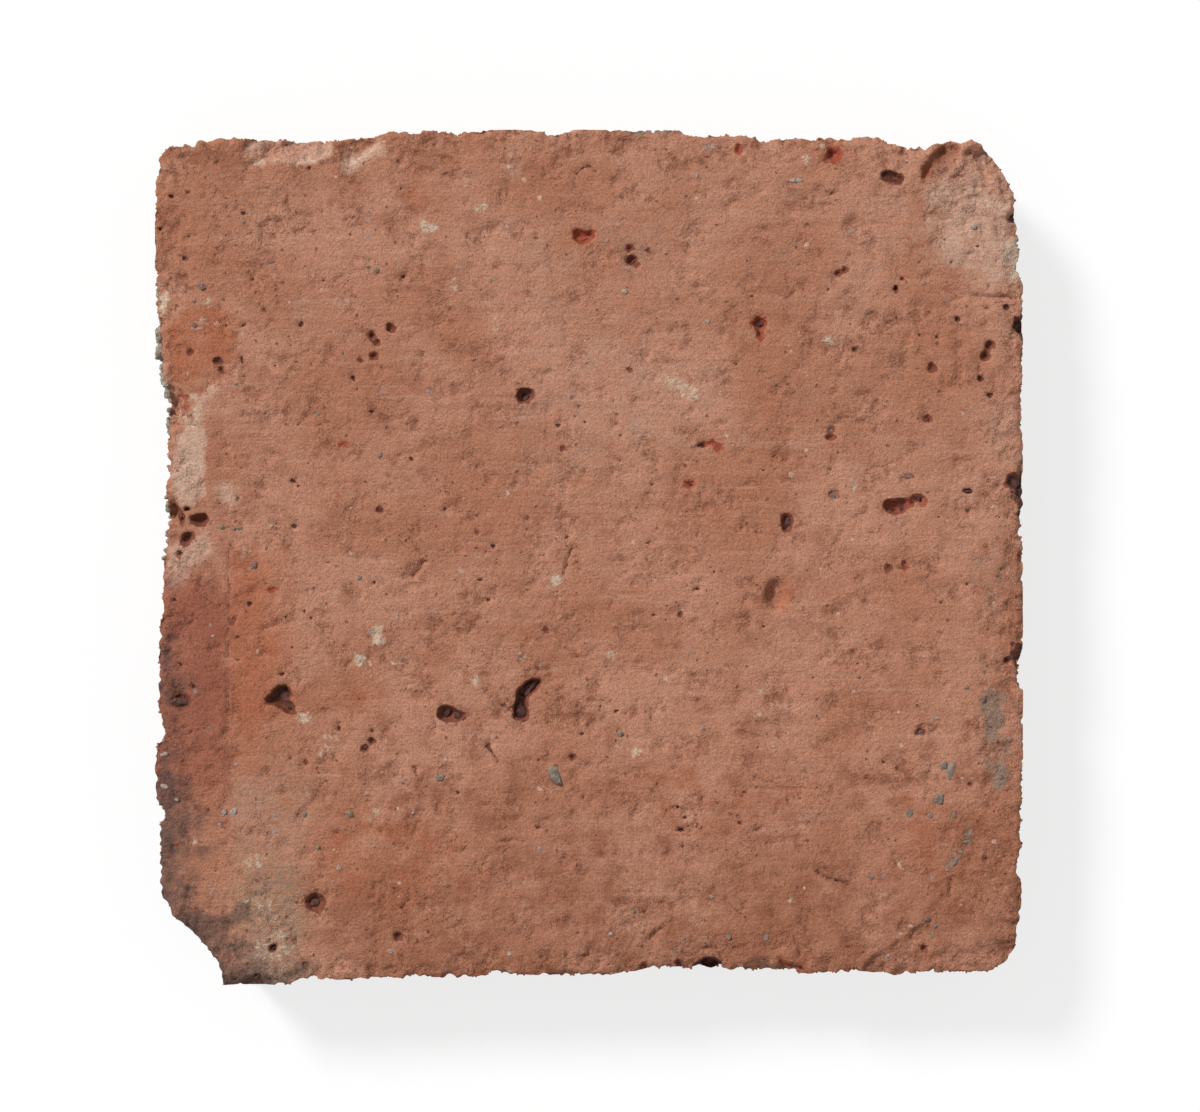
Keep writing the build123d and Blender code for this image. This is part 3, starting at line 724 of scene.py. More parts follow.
STAINS = (
    ("deep", (
        (675, 958, 420, 44, 0, 0.75, 0.5, 0.9), (640, 920, 160, 60, 0, 0.45, 0.6, 0.9),
        (480, 860, 560, 260, 0, 0.3, 0.6, 1.0), (880, 960, 120, 26, 0, 0.5, 0.5, 0.9),
        (200, 160, 110, 34, 0, 0.5, 0.6, 0.9), (196, 200, 80, 70, 0, 0.4, 0.6, 0.9),
        (1008, 560, 26, 300, 0, 0.45, 0.6, 0.9), (890, 130, 190, 40, 0, 0.45, 0.6, 0.9),
        (225, 352, 60, 40, 0, 0.5, 0.5, 0.9), (192, 386, 40, 30, 0, 0.6, 0.5, 0.9),
        (794, 194, 40, 22, 0, 0.6, 0.5, 0.9), (560, 300, 60, 24, 20, 0.25, 0.6, 1.0),
        (258, 982, 80, 14, 0, 0.9, 0.4, 0.7), (365, 900, 170, 150, 0, 0.8, 0.6, 1.0),
        (700, 945, 220, 44, 0, 0.75, 0.6, 0.9), (950, 950, 130, 60, 0, 0.65, 0.6, 0.9),
        (300, 890, 60, 90, 0, 0.5, 0.6, 0.9), (620, 238, 90, 50, 10, 0.25, 0.6, 1.0),
        (730, 650, 60, 40, 0, 0.3, 0.6, 1.0), (320, 600, 120, 100, 0, 0.2, 0.6, 1.0),
    )),
    ("band", ((230, 530, 50, 70, 0, 0.4, 0.5, 0.8),)),
    ("soot", (
        (166, 790, 26, 60, 0, 0.75, 0.5, 0.7), (222, 922, 84, 44, 15, 0.75, 0.5, 0.8),
        (300, 968, 70, 26, 10, 0.5, 0.6, 0.9), (240, 955, 50, 50, 0, 0.6, 0.6, 0.9),
    )),
    ("bleach", (
        # The marks at (288, 148) and (362, 156) lie on the top left chips: their pale is partly paler broken clay and
        # partly painted light
        (205, 380, 60, 40, 30, 0.3, 0.6, 0.9), (288, 148, 90, 24, 0, 0.8, 0.4, 0.6),
        (512, 162, 40, 56, 0, 0.5, 0.6, 0.9), (320, 300, 60, 90, 0, 0.3, 0.6, 0.9),
        (623, 164, 30, 30, 0, 0.4, 0.5, 0.9), (288, 148, 96, 36, 0, 0.75, 0.4, 0.6),
        (362, 156, 60, 26, 25, 0.7, 0.4, 0.6), (620, 380, 380, 330, 20, 0.22, 0.6, 1.0),
        (900, 380, 240, 420, 0, 0.18, 0.6, 1.0),
    )),
    ("cream", (
        (641, 935, 10, 6, 0, 0.6, 0.6, 0.8), (692, 920, 8, 6, 0, 0.8, 0.5, 0.7),
    )),
    ("bleach", (
        # The mark at (300, 152) lies on the top left chip: partly paler broken clay, partly painted light
        (700, 250, 500, 220, 0, 0.2, 0.6, 1.0), (300, 152, 80, 22, 0, 0.7, 0.5, 0.8),
    )),
    ("soot", ((640, 130, 76, 8, 0, 0.5, 0.6, 0.8),)),
    ("grey", ((157, 292, 10, 18, 0, 0.9, 0.4, 0.7),)),
    ("cream", (
        (377, 638, 14, 25, 15, 0.95, 0.5, 0.5), (360, 661, 22, 15, 0, 0.95, 0.5, 0.5),
        (396, 663, 60, 5, 3, 0.7, 0.6, 0.8), (307, 720, 30, 16, -30, 0.8, 0.5, 0.8),
        (326, 745, 30, 40, -25, 0.35, 0.7, 0.9), (683, 388, 44, 28, -12, 0.62, 0.65, 0.7),
        (556, 580, 15, 14, 0, 1.0, 0.4, 0.45), (560, 596, 9, 14, 0, 0.6, 0.6, 0.8),
        (466, 182, 18, 14, 0, 0.5, 0.6, 0.8), (477, 207, 36, 13, 5, 0.45, 0.6, 0.7),
        (427, 227, 26, 12, 0, 0.9, 0.5, 0.6), (453, 282, 16, 14, 0, 0.7, 0.6, 0.8),
        (493, 248, 12, 9, 0, 0.5, 0.6, 0.8), (495, 320, 16, 34, 0, 0.3, 0.7, 0.9),
        (831, 340, 16, 20, 0, 0.55, 0.5, 0.7), (806, 158, 12, 12, 0, 0.9, 0.3, 0.5),
        (453, 436, 9, 12, 0, 0.6, 0.5, 0.7), (475, 681, 17, 14, 0, 0.85, 0.5, 0.6),
        (519, 657, 15, 7, 0, 0.8, 0.5, 0.6), (610, 655, 24, 12, 0, 0.6, 0.4, 0.6),
        (636, 752, 13, 10, -20, 0.95, 0.4, 0.5), (853, 482, 7, 16, 0, 0.7, 0.5, 0.6),
        (729, 434, 9, 9, 0, 0.6, 0.5, 0.7), (808, 373, 9, 6, 0, 0.7, 0.5, 0.7),
        (792, 901, 10, 12, 0, 0.6, 0.5, 0.7), (901, 866, 15, 8, -20, 0.8, 0.5, 0.6),
        (918, 849, 8, 4, 0, 0.7, 0.4, 0.6), (936, 718, 8, 4, 0, 0.8, 0.4, 0.6), (490, 280, 5, 5, 0, 0.9, 0.3, 0.6),
        (163, 302, 10, 24, -10, 0.95, 0.3, 0.5), (200, 300, 34, 6, 5, 0.4, 0.6, 0.9),
        (206, 321, 46, 8, 5, 0.45, 0.6, 0.9), (195, 400, 24, 60, 20, 0.45, 0.5, 0.9),
        (185, 420, 26, 30, 0, 0.5, 0.5, 0.8), (254, 864, 26, 16, 0, 0.55, 0.6, 0.8),
        (264, 905, 56, 30, -30, 0.4, 0.7, 0.9), (280, 948, 46, 40, 0, 0.5, 0.7, 0.8),
        (372, 815, 34, 16, 25, 0.5, 0.6, 0.9), (243, 550, 14, 16, 0, 0.6, 0.5, 0.7),
        (324, 290, 9, 6, 0, 0.9, 0.4, 0.6), (421, 316, 5, 5, 0, 0.8, 0.4, 0.6),
        (427, 634, 12, 8, 0, 0.4, 0.6, 0.8), (1012, 262, 12, 44, -4, 0.55, 0.5, 0.8),
        (552, 670, 10, 6, 0, 0.4, 0.6, 0.8), (722, 640, 12, 8, 0, 0.35, 0.6, 0.8),
        (760, 690, 12, 8, 0, 0.5, 0.6, 0.8), (644, 652, 6, 5, 0, 0.4, 0.6, 0.8),
        (625, 609, 8, 4, 0, 0.45, 0.6, 0.8),
    )),
    ("grey", (
        (781, 248, 76, 56, 0, 0.35, 0.6, 1.0), (985, 561, 32, 20, 0, 0.6, 0.6, 0.8),
        (994, 712, 34, 60, 0, 1.0, 0.6, 0.8), (998, 765, 28, 60, 0, 0.9, 0.6, 0.8),
        (996, 330, 50, 50, 0, 0.3, 0.6, 1.0), (990, 600, 50, 240, 0, 0.3, 0.6, 1.0),
        (968, 835, 12, 26, -25, 0.75, 0.5, 0.8), (950, 862, 12, 22, -30, 0.7, 0.5, 0.8),
        (690, 650, 14, 18, 0, 0.5, 0.5, 0.8), (170, 600, 30, 120, 0, 0.35, 0.6, 0.9),
        (270, 890, 70, 70, 0, 0.5, 0.7, 0.9), (640, 131, 70, 8, 0, 0.8, 0.5, 0.7),
        (478, 208, 34, 10, 5, 0.5, 0.5, 0.8), (792, 195, 34, 16, 0, 0.4, 0.5, 0.9),
    )),
    ("scar", (
        # The mark at (288, 150) lies on the top left chip: partly paler broken clay, partly painted light
        (288, 150, 90, 30, 0, 0.8, 0.4, 0.7), (990, 175, 60, 60, 0, 0.7, 0.4, 0.8),
        (176, 402, 20, 40, 12, 0.9, 0.4, 0.6), (226, 966, 40, 30, -40, 0.7, 0.4, 0.7),
        (766, 966, 90, 16, 0, 0.6, 0.4, 0.8), (950, 950, 130, 50, 8, 0.45, 0.5, 0.9),
    )),
    ("warm", (
        (200, 345, 70, 90, 0, 0.55, 0.6, 0.9), (250, 610, 60, 120, 0, 0.5, 0.6, 0.9),
        (930, 870, 180, 170, 0, 0.35, 0.6, 1.0), (380, 860, 260, 160, 0, 0.4, 0.6, 1.0),
        (350, 700, 160, 80, 0, 0.3, 0.6, 1.0), (560, 770, 60, 60, 0, 0.3, 0.6, 1.0),
        (690, 790, 300, 100, 0, 0.3, 0.6, 1.0), (200, 200, 80, 60, 0, 0.3, 0.6, 1.0),
        (420, 190, 60, 60, 0, 0.35, 0.6, 1.0), (770, 440, 100, 200, 0, 0.2, 0.6, 1.0),
    )),
    ("ember", (
        (958, 826, 9, 4, -20, 0.7, 0.4, 0.6), (952, 839, 6, 8, 0, 0.5, 0.4, 0.7),
        (236, 700, 8, 60, 0, 0.35, 0.6, 0.9), (200, 430, 14, 5, 30, 0.5, 0.5, 0.7),
    )),
)
seed = STAIN_SEED
for name, marks in STAINS:
    for mark in marks:
        stain(name, *mark, seed)
        seed += 1

# Patches with a shape of their own: tint, corners, amount, width of the rim in millimetres
PATCHES = (
    ("bleach", ((204, 388), (212, 383), (220, 391), (216, 400), (207, 404), (201, 411), (203, 418), (201, 424),
                (204, 430), (206, 440), (207, 452), (206, 470), (206, 482), (204, 495), (198, 501), (192, 505),
                (184, 508), (177, 504), (171, 492), (170, 476), (173, 458), (177, 440), (180, 432), (190, 421),
                (189, 412), (197, 400)), 0.92, 1.8),
    ("cream", ((178, 440), (200, 436), (203, 460), (202, 490), (190, 503), (176, 500), (172, 476)), 0.3, 3.0),
    ("bleach", ((212, 482), (223, 478), (232, 481), (239, 487), (239, 498), (236, 507), (232, 511), (226, 505),
                (216, 502), (210, 498), (209, 490)), 0.7, 2.2),
    ("bleach", ((171, 544), (180, 542), (186, 547), (192, 541), (201, 530), (209, 530), (210, 541), (216, 550),
                (207, 557), (198, 562), (190, 570), (186, 579), (178, 585), (169, 586), (165, 580), (165, 565),
                (167, 553)), 0.95, 1.8),
    # The pale of the top left chip is partly paler broken clay and partly painted light
    ("bleach", ((243, 141), (246, 158), (256, 166), (280, 160), (305, 164), (328, 157), (333, 150), (332, 141)),
     0.8, 1.6),
    # The cream strips along the top left chips' inner rims are painted highlights on their lit steps
    ("cream", ((248, 160), (254, 167), (266, 163), (280, 162), (280, 158), (262, 159), (254, 160)), 0.6, 1.0),
    ("cream", ((284, 161), (300, 165), (314, 163), (322, 158), (300, 160)), 0.5, 1.0),
    ("cream", ((337, 156), (349, 167), (361, 163), (369, 153), (383, 141), (381, 138), (366, 149), (356, 158),
               (346, 160)), 0.65, 1.0),
    ("bleach", ((925, 195), (945, 178), (960, 160), (985, 150), (1005, 170), (1020, 200), (1022, 240), (1020, 292),
                (985, 290), (955, 270), (940, 250), (930, 225)), 0.75, 11.0),
    ("bleach", ((870, 190), (920, 170), (960, 200), (940, 280), (890, 270), (855, 230)), 0.2, 12.0),
    ("bleach", ((985, 400), (1005, 395), (1022, 410), (1022, 470), (1000, 475), (985, 450)), 0.3, 6.0),
    # Painted shade: the brown over the top right chip, darkest on its shadowed scarp
    ("deep", ((920, 171), (927, 159), (934, 151), (943, 143), (950, 138), (961, 138), (963, 147), (959, 155),
              (952, 159), (955, 166), (950, 170), (941, 166), (934, 169), (929, 178), (925, 182), (920, 178)),
     1.0, 1.4),
    ("hollow", ((941, 144), (950, 139), (961, 140), (962, 148), (955, 156), (948, 157), (942, 152)), 0.3, 1.6),
    ("grey", ((1008, 242), (1014, 238), (1022, 242), (1022, 290), (1012, 296), (1006, 280), (1010, 260)), 0.4, 2.0),
    ("cream", ((1004, 240), (1015, 236), (1023, 244), (1022, 282), (1010, 280), (1005, 262)), 0.8, 2.6),
    ("cream", ((978, 196), (990, 193), (1003, 200), (1013, 205), (1012, 214), (1000, 210), (985, 208)), 0.35, 2.0),
    # The dark in the chips along the right edge is painted shade
    ("pit", ((1013, 640), (1021, 642), (1026, 655), (1019, 670), (1014, 668), (1011, 655)), 0.9, 1.2),
    ("pit", ((1015, 318), (1021, 312), (1026, 322), (1024, 342), (1018, 338), (1013, 328)), 0.9, 1.2),
    ("pit", ((1012, 478), (1026, 474), (1026, 520), (1018, 516), (1013, 500)), 0.7, 1.2),
    ("cream", ((158, 293), (165, 293), (170, 299), (164, 312), (160, 314)), 0.7, 1.2),
    ("warm", ((186, 300), (230, 305), (236, 340), (226, 380), (196, 396), (170, 380), (164, 330)), 0.8, 5.0),
    ("cream", ((190, 296), (212, 300), (210, 306), (186, 304)), 0.4, 1.2),
    ("cream", ((184, 318), (228, 322), (212, 327), (190, 330)), 0.35, 1.4),
)
for index, (name, corners, amount, soft) in enumerate(PATCHES):
    patch(name, corners, amount, soft, PATCH_SEED + index)

# The fire-darkened left side: a red-brown band, an orange glow beside it, soot along the edge and
# a pale patch below, all running into one another
across = X / PIXEL + ORIGIN_PX[0] + 7.0 * fractal(X, Y, 9.0, 91, 4, 0.6)
down = ORIGIN_PX[1] - Y / PIXEL + 16.0 * fractal(X, Y, 14.0, 92, 4, 0.6)
line = X / PIXEL + ORIGIN_PX[0] + 1.5 * fractal(X, Y, 6.0, 93, 3)
BAND_SHADE = 0.65 + 0.35 * ramp(across, 250, 200)
SOOT_RIM = ramp(EDGE + 3.0 * fractal(X, Y, 7.0, 94, 3), 12.0, 1.5)
FIELDS = (
    ("band", ramp(line, 240, 222) * ramp(down, 550, 600) * ramp(down, 850, 770) * BAND_SHADE),
    ("band", 0.35 * ramp(across, 280, 220) * ramp(down, 500, 580) * ramp(down, 800, 700)),
    ("warm", 0.9 * ramp(across, 320, 245) * ramp(line, 218, 234) * ramp(down, 510, 590) * ramp(down, 780, 700)),
    ("warm", 0.5 * ramp(line, 190, 215) * ramp(line, 235, 225) * ramp(down, 570, 620) * ramp(down, 760, 700)),
    ("soot", 0.5 * ramp(across, 205, 160) * ramp(down, 590, 660)),
    ("soot", 0.85 * ramp(across, 230, 160) * ramp(down, 740, 800)),
    ("soot", 0.75 * SOOT_RIM * ramp(down, 890, 925) * ramp(across, 300, 250)),
    ("bleach", 0.28 * ramp(line, 222, 240) * ramp(across, 350, 290) * ramp(down, 755, 775) * ramp(down, 900, 820)),
    ("ochre", 0.4 * ramp(across, 205, 245) * ramp(across, 330, 280) * ramp(down, 830, 880) * ramp(down, 1010, 975)),
    ("cream", 0.16 * ramp(across, 225, 262) * ramp(across, 305, 280) * ramp(down, 860, 900)),
    ("grey", 0.55 * ramp(across, 222, 262) * ramp(across, 322, 285) * ramp(down, 835, 890)),
    ("grey", 0.3 * ramp(line, 222, 240) * ramp(across, 330, 280) * ramp(down, 755, 790)),
    ("deep", 0.55 * ramp(down, 620, 930) * ramp(across, 330, 420)),
)
for name, amount in FIELDS:
    tint[name] = np.maximum(tint[name], amount)


# ------------------------------------------------------------------ the body

# Heights in millimetres at which the body's outline is laid down, and how much of the rim's
# crumbling is left at each: the walls below are smoother, and a little further in
RINGS = ((0.0, 0.0), (6.0, 0.05), (12.0, 0.15), (17.0, 0.4), (21.0, 0.85), (THICKNESS, 1.0))
RING_INSET = 0.55
RING_PASSES = 60


def outline_at(share):
    """The outline with a share of the rim's crumbling."""
    even = evened(loop, RING_PASSES)
    return share * loop + (1.0 - share) * (even + RING_INSET * inward_of(even))


def slab_mesh():
    """The slab of the outline, ring above ring."""
    bm = bmesh.new()
    rings = [[bm.verts.new((x * MM, y * MM, height * MM)) for x, y in outline_at(share)]
             for height, share in RINGS]
    count = len(loop)
    for low, high in zip(rings, rings[1:]):
        for k in range(count):
            n = (k + 1) % count
            bm.faces.new((low[k], low[n], high[n], high[k]))
    bm.faces.new(rings[0][::-1])
    bm.faces.new(rings[-1])
    bmesh.ops.triangulate(bm, faces=[face for face in bm.faces if len(face.verts) > 4])
    bmesh.ops.recalc_face_normals(bm, faces=bm.faces[:])
    mesh = bpy.data.meshes.new("tile_body")
    bm.to_mesh(mesh)
    bm.free()
    return mesh


def new_object(name, data):
    obj = bpy.data.objects.new(name, data)
    bpy.context.scene.collection.objects.link(obj)
    return obj


def bake_modifiers(obj):
    """Puts the modifiers' result into the object's own mesh."""
    graph = bpy.context.evaluated_depsgraph_get()
    mesh = bpy.data.meshes.new_from_object(obj.evaluated_get(graph))
    old = obj.data
    obj.modifiers.clear()
    obj.data = mesh
    bpy.data.meshes.remove(old)


def remesh(obj, voxel):
    modifier = obj.modifiers.new("even", "REMESH")
    modifier.mode = "VOXEL"
    modifier.voxel_size = voxel * MM
    bake_modifiers(obj)


def read_points(mesh):
    flat = np.empty(len(mesh.vertices) * 3, np.float32)
    mesh.vertices.foreach_get("co", flat)
    return flat.reshape(-1, 3).astype(float) / MM


def write_points(mesh, points):
    mesh.vertices.foreach_set("co", (points * MM).astype(np.float32).ravel())
    mesh.update()


def read_normals(mesh):
    flat = np.empty(len(mesh.vertices) * 3, np.float32)
    mesh.vertex_normals.foreach_get("vector", flat)
    return flat.reshape(-1, 3).astype(float)


def inside_box(points):
    """Points held inside the solid's own box."""
    return np.clip(points, np.array(cad_box[0]) / MM + 0.01, np.array(cad_box[1]) / MM - 0.01)


def pressed_slab():
    """The slab with its large drops: every column is pressed down by the drop at its place."""
    slab = new_object("tile_body", slab_mesh())
    remesh(slab, VOXEL)
    points = read_points(slab.data)
    drop = sample(form, points[:, 0], points[:, 1])
    points[:, 2] = np.clip(points[:, 2], 0.0, THICKNESS) * (THICKNESS - drop) / THICKNESS
    write_points(slab.data, points)
    remesh(slab, VOXEL)
    return slab


def roughen(slab):
    """The fine relief: the worn face's own, rough clay on the walls and sand under the bed."""
    points = read_points(slab.data)
    normals = read_normals(slab.data)
    x, y, z = points.T
    up = ramp(normals[:, 2], 0.35, 0.75)
    down = ramp(-normals[:, 2], 0.35, 0.75)
    wall = 1.0 - up - down
    points[:, 2] -= up * sample(fine, x, y)
    rough = 0.32 * noise3(x, y, z, 5.5, 31) + 0.22 * noise3(x, y, z, 1.9, 32)
    rough += 0.12 * noise3(x, y, z, 0.95, 33)
    inward = wall * np.clip(0.05 + rough, -0.3, 1.0)
    points -= normals * inward[:, None]
    sand = 0.16 + 0.10 * fractal(x, y, 6.0, 34, 2)
    points[:, 2] += down * np.clip(sand, 0.0, 0.5) * ramp(sample(EDGE, x, y), 0.0, 2.0)
    write_points(slab.data, inside_box(points))
    return FACE_WEIGHT * up + wall * (WALL_WEIGHT + RIM_WEIGHT * ramp(z, 10.0, 18.0))


def thin(slab, weights):
    """Fewer triangles, where the relief needs them least. A weight of 1 would never be thinned."""
    triangles = sum(len(face.vertices) - 2 for face in slab.data.polygons)
    if triangles <= BODY_TRIANGLES:
        return
    group = slab.vertex_groups.new(name="keep")
    weights = np.round(weights, 1)
    for level in np.unique(weights):
        group.add(np.nonzero(weights == level)[0].tolist(), float(level), "REPLACE")
    modifier = slab.modifiers.new("thin", "DECIMATE")
    modifier.ratio = BODY_TRIANGLES / triangles
    modifier.vertex_group = "keep"
    modifier.invert_vertex_group = True
    modifier.vertex_group_factor = THINNING_EVENNESS
    modifier.use_collapse_triangulate = True
    bake_modifiers(slab)
    slab.vertex_groups.clear()


def tint_body(slab):
    """The maps of colour, laid on the points. Those of the face alone fade out down the walls."""
    points = read_points(slab.data)
    normals = read_normals(slab.data)
    layers = {name: sample(layer, points[:, 0], points[:, 1]) for name, layer in tint.items()}
    layers["pit"] *= ramp(points[:, 2], 10.0, 16.0)
    for name in ("bleach", "cream", "scar", "ochre", "ember", "hollow", "grey"):
        layers[name] *= ramp(points[:, 2], 14.0, 22.0)
    layers["wall"] = ramp(normals[:, 2], 0.6, 0.2) * ramp(THICKNESS - points[:, 2], 0.8, 3.0)
    layers["under"] = ramp(-normals[:, 2], 0.4, 0.8)
    for name, values in layers.items():
        layer = slab.data.attributes.new(name, "FLOAT", "POINT")
        layer.data.foreach_set("value", values.astype(np.float32))


def build_body():
    slab = pressed_slab()
    thin(slab, roughen(slab))
    slab.data.shade_smooth()
    write_points(slab.data, inside_box(read_points(slab.data)))
    tint_body(slab)
    return slab


body = build_body()
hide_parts("tile")
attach(body, "root")

# ------------------------------------------------------------------ materials

def srgb(red, green, blue):
    """A colour as the eye reads it, 0 to 255, turned into the renderer's linear numbers."""
    linear = []
    for value in (red, green, blue):
        value /= 255.0
        linear.append(value / 12.92 if value <= 0.04045 else ((value + 0.055) / 1.055)**2.4)
    return (*linear, 1.0)


SPECK_RIM = 0.07


class Shading:
    """A material's nodes. Each helper gives the output that the next one takes."""

    def __init__(self, name, roughness):
        self.material = bpy.data.materials.new(name)
        self.material.use_nodes = True
        self.tree = self.material.node_tree
        self.shader = self.tree.nodes["Principled BSDF"]
        self.shader.inputs["Roughness"].default_value = roughness
        self.object_place = self.node("ShaderNodeTexCoord").outputs["Object"]
        self.mm = self.scaled(1.0, 1.0, 1.0)
        self.drawn = self.scaled(0.07, 1.0, 1.0)

    def node(self, kind, **settings):
        made = self.tree.nodes.new(kind)
        for name, value in settings.items():
            setattr(made, name, value)
        return made

    def feed(self, socket, source):
        if isinstance(source, bpy.types.NodeSocket):
            self.tree.links.new(source, socket)
        else:
            socket.default_value = source

    def scaled(self, x, y, z):
        made = self.node("ShaderNodeMapping")
        self.feed(made.inputs["Vector"], self.object_place)
        made.inputs["Scale"].default_value = (x / MM, y / MM, z / MM)
        return made.outputs["Vector"]

    def noise(self, cell, detail=3.0, rough=0.55, where=None):
        made = self.node("ShaderNodeTexNoise")
        self.feed(made.inputs["Vector"], where or self.mm)
        made.inputs["Scale"].default_value = 1.0 / cell
        made.inputs["Detail"].default_value = detail
        made.inputs["Roughness"].default_value = rough
        return made.outputs["Fac"]

    def band(self, value, low, high, least=0.0, most=1.0):
        made = self.node("ShaderNodeMapRange", interpolation_type="SMOOTHSTEP")
        self.feed(made.inputs["Value"], value)
        made.inputs["From Min"].default_value = low
        made.inputs["From Max"].default_value = high
        made.inputs["To Min"].default_value = least
        made.inputs["To Max"].default_value = most
        return made.outputs["Result"]

    def maths(self, operation, first, second):
        made = self.node("ShaderNodeMath", operation=operation)
        self.feed(made.inputs[0], first)
        self.feed(made.inputs[1], second)
        return made.outputs["Value"]

    def mix(self, amount, under, over, blend="MIX"):
        """Two colours mixed. Sockets 6 and 7 and the output 2 are the node's colour ones."""
        made = self.node("ShaderNodeMix", data_type="RGBA", blend_type=blend)
        self.feed(made.inputs[0], amount)
        self.feed(made.inputs[6], under)
        self.feed(made.inputs[7], over)
        return made.outputs[2]

    def layer(self, name):
        return self.node("ShaderNodeAttribute", attribute_name=name).outputs["Fac"]

    def bent(self, cell, amount):
        """Places moved about by noise, so that what is laid on them has uneven rims."""
        warp = self.node("ShaderNodeTexNoise")
        self.feed(warp.inputs["Vector"], self.mm)
        warp.inputs["Scale"].default_value = 1.0 / cell
        warp.inputs["Detail"].default_value = 1.0
        shift = self.node("ShaderNodeVectorMath", operation="SCALE")
        self.feed(shift.inputs[0], warp.outputs["Color"])
        shift.inputs["Scale"].default_value = amount
        moved = self.node("ShaderNodeVectorMath", operation="ADD")
        self.feed(moved.inputs[0], self.mm)
        self.feed(moved.inputs[1], shift.outputs["Vector"])
        return moved.outputs["Vector"]

    def specks(self, cell, rarity, largest, where):
        """Grains of uneven size: the share of cells without one, and the largest radius."""
        cells = self.node("ShaderNodeTexVoronoi")
        self.feed(cells.inputs["Vector"], where)
        cells.inputs["Scale"].default_value = 1.0 / cell
        parts = self.node("ShaderNodeSeparateColor")
        self.feed(parts.inputs["Color"], cells.outputs["Color"])
        radius = self.band(parts.outputs["Red"], rarity, 1.0, 0.0, largest)
        gap = self.maths("SUBTRACT", radius, cells.outputs["Distance"])
        return self.band(gap, 0.0, SPECK_RIM), parts.outputs["Green"]

    def broken(self, name, spread, low, high):
        """A tint's layer, broken up by noise so that its rim isn't smooth."""
        value = self.layer(name)
        reach = self.maths("MULTIPLY", spread, self.band(value, 0.0, 0.25))
        return self.band(self.maths("ADD", value, reach), low, high)

    def spread(self, noise, share):
        return self.maths("MULTIPLY", self.maths("SUBTRACT", noise, 0.5), 2.0 * share)

    def bump(self, height):
        made = self.node("ShaderNodeBump")
        made.inputs["Distance"].default_value = MM
        self.feed(made.inputs["Height"], height)
        return made.outputs["Normal"]

    def scale(self, value, amount):
        return self.maths("MULTIPLY", value, amount)


CLAY_MID = srgb(169, 112, 86)
# Deeper clay, also painted shade in the torn nicks and over the top right chip
CLAY_DEEP_AND_SHADE = srgb(143, 89, 66)
CLAY_PINK = srgb(184, 130, 106)
CLAY_ORANGE_AND_LIGHT = srgb(169, 101, 72)
# Orange clay, also painted light on the gentle right slope of the smooth dent
CLAY_BAND = srgb(148, 88, 69)
CLAY_SOOT = srgb(92, 72, 66)
# Bleached clay, also partly painted light on the top left chips
CLAY_BLEACH_AND_LIGHT = srgb(198, 161, 140)
CLAY_OCHRE = srgb(190, 146, 112)
# Lime cream, also painted highlights on the lit steps of the top left chips
LIME_CREAM_AND_HIGHLIGHT = srgb(200, 180, 157)
DIRT_GREY = srgb(138, 118, 103)
CLAY_SCAR = srgb(186, 132, 108)
# Dark red-brown of pits, scratches and chips: partly the clay's iron, partly painted shade in hollows too small to
# shade themselves
PIT_IRON_AND_SHADE = srgb(80, 43, 36)
IRON_EMBER = srgb(156, 72, 50)
# Brown of void walls, also painted shade on the steep side of the smooth dent and over the top right chip's scarp
VOID_BROWN_AND_SHADE = srgb(118, 66, 50)
SPECK_DARK = srgb(104, 60, 46)
SPECK_PALE = srgb(204, 180, 160)
SPECK_BLUE = srgb(150, 138, 138)
WALL_BROWN = srgb(152, 98, 74)
SAND_TAN = srgb(176, 128, 98)


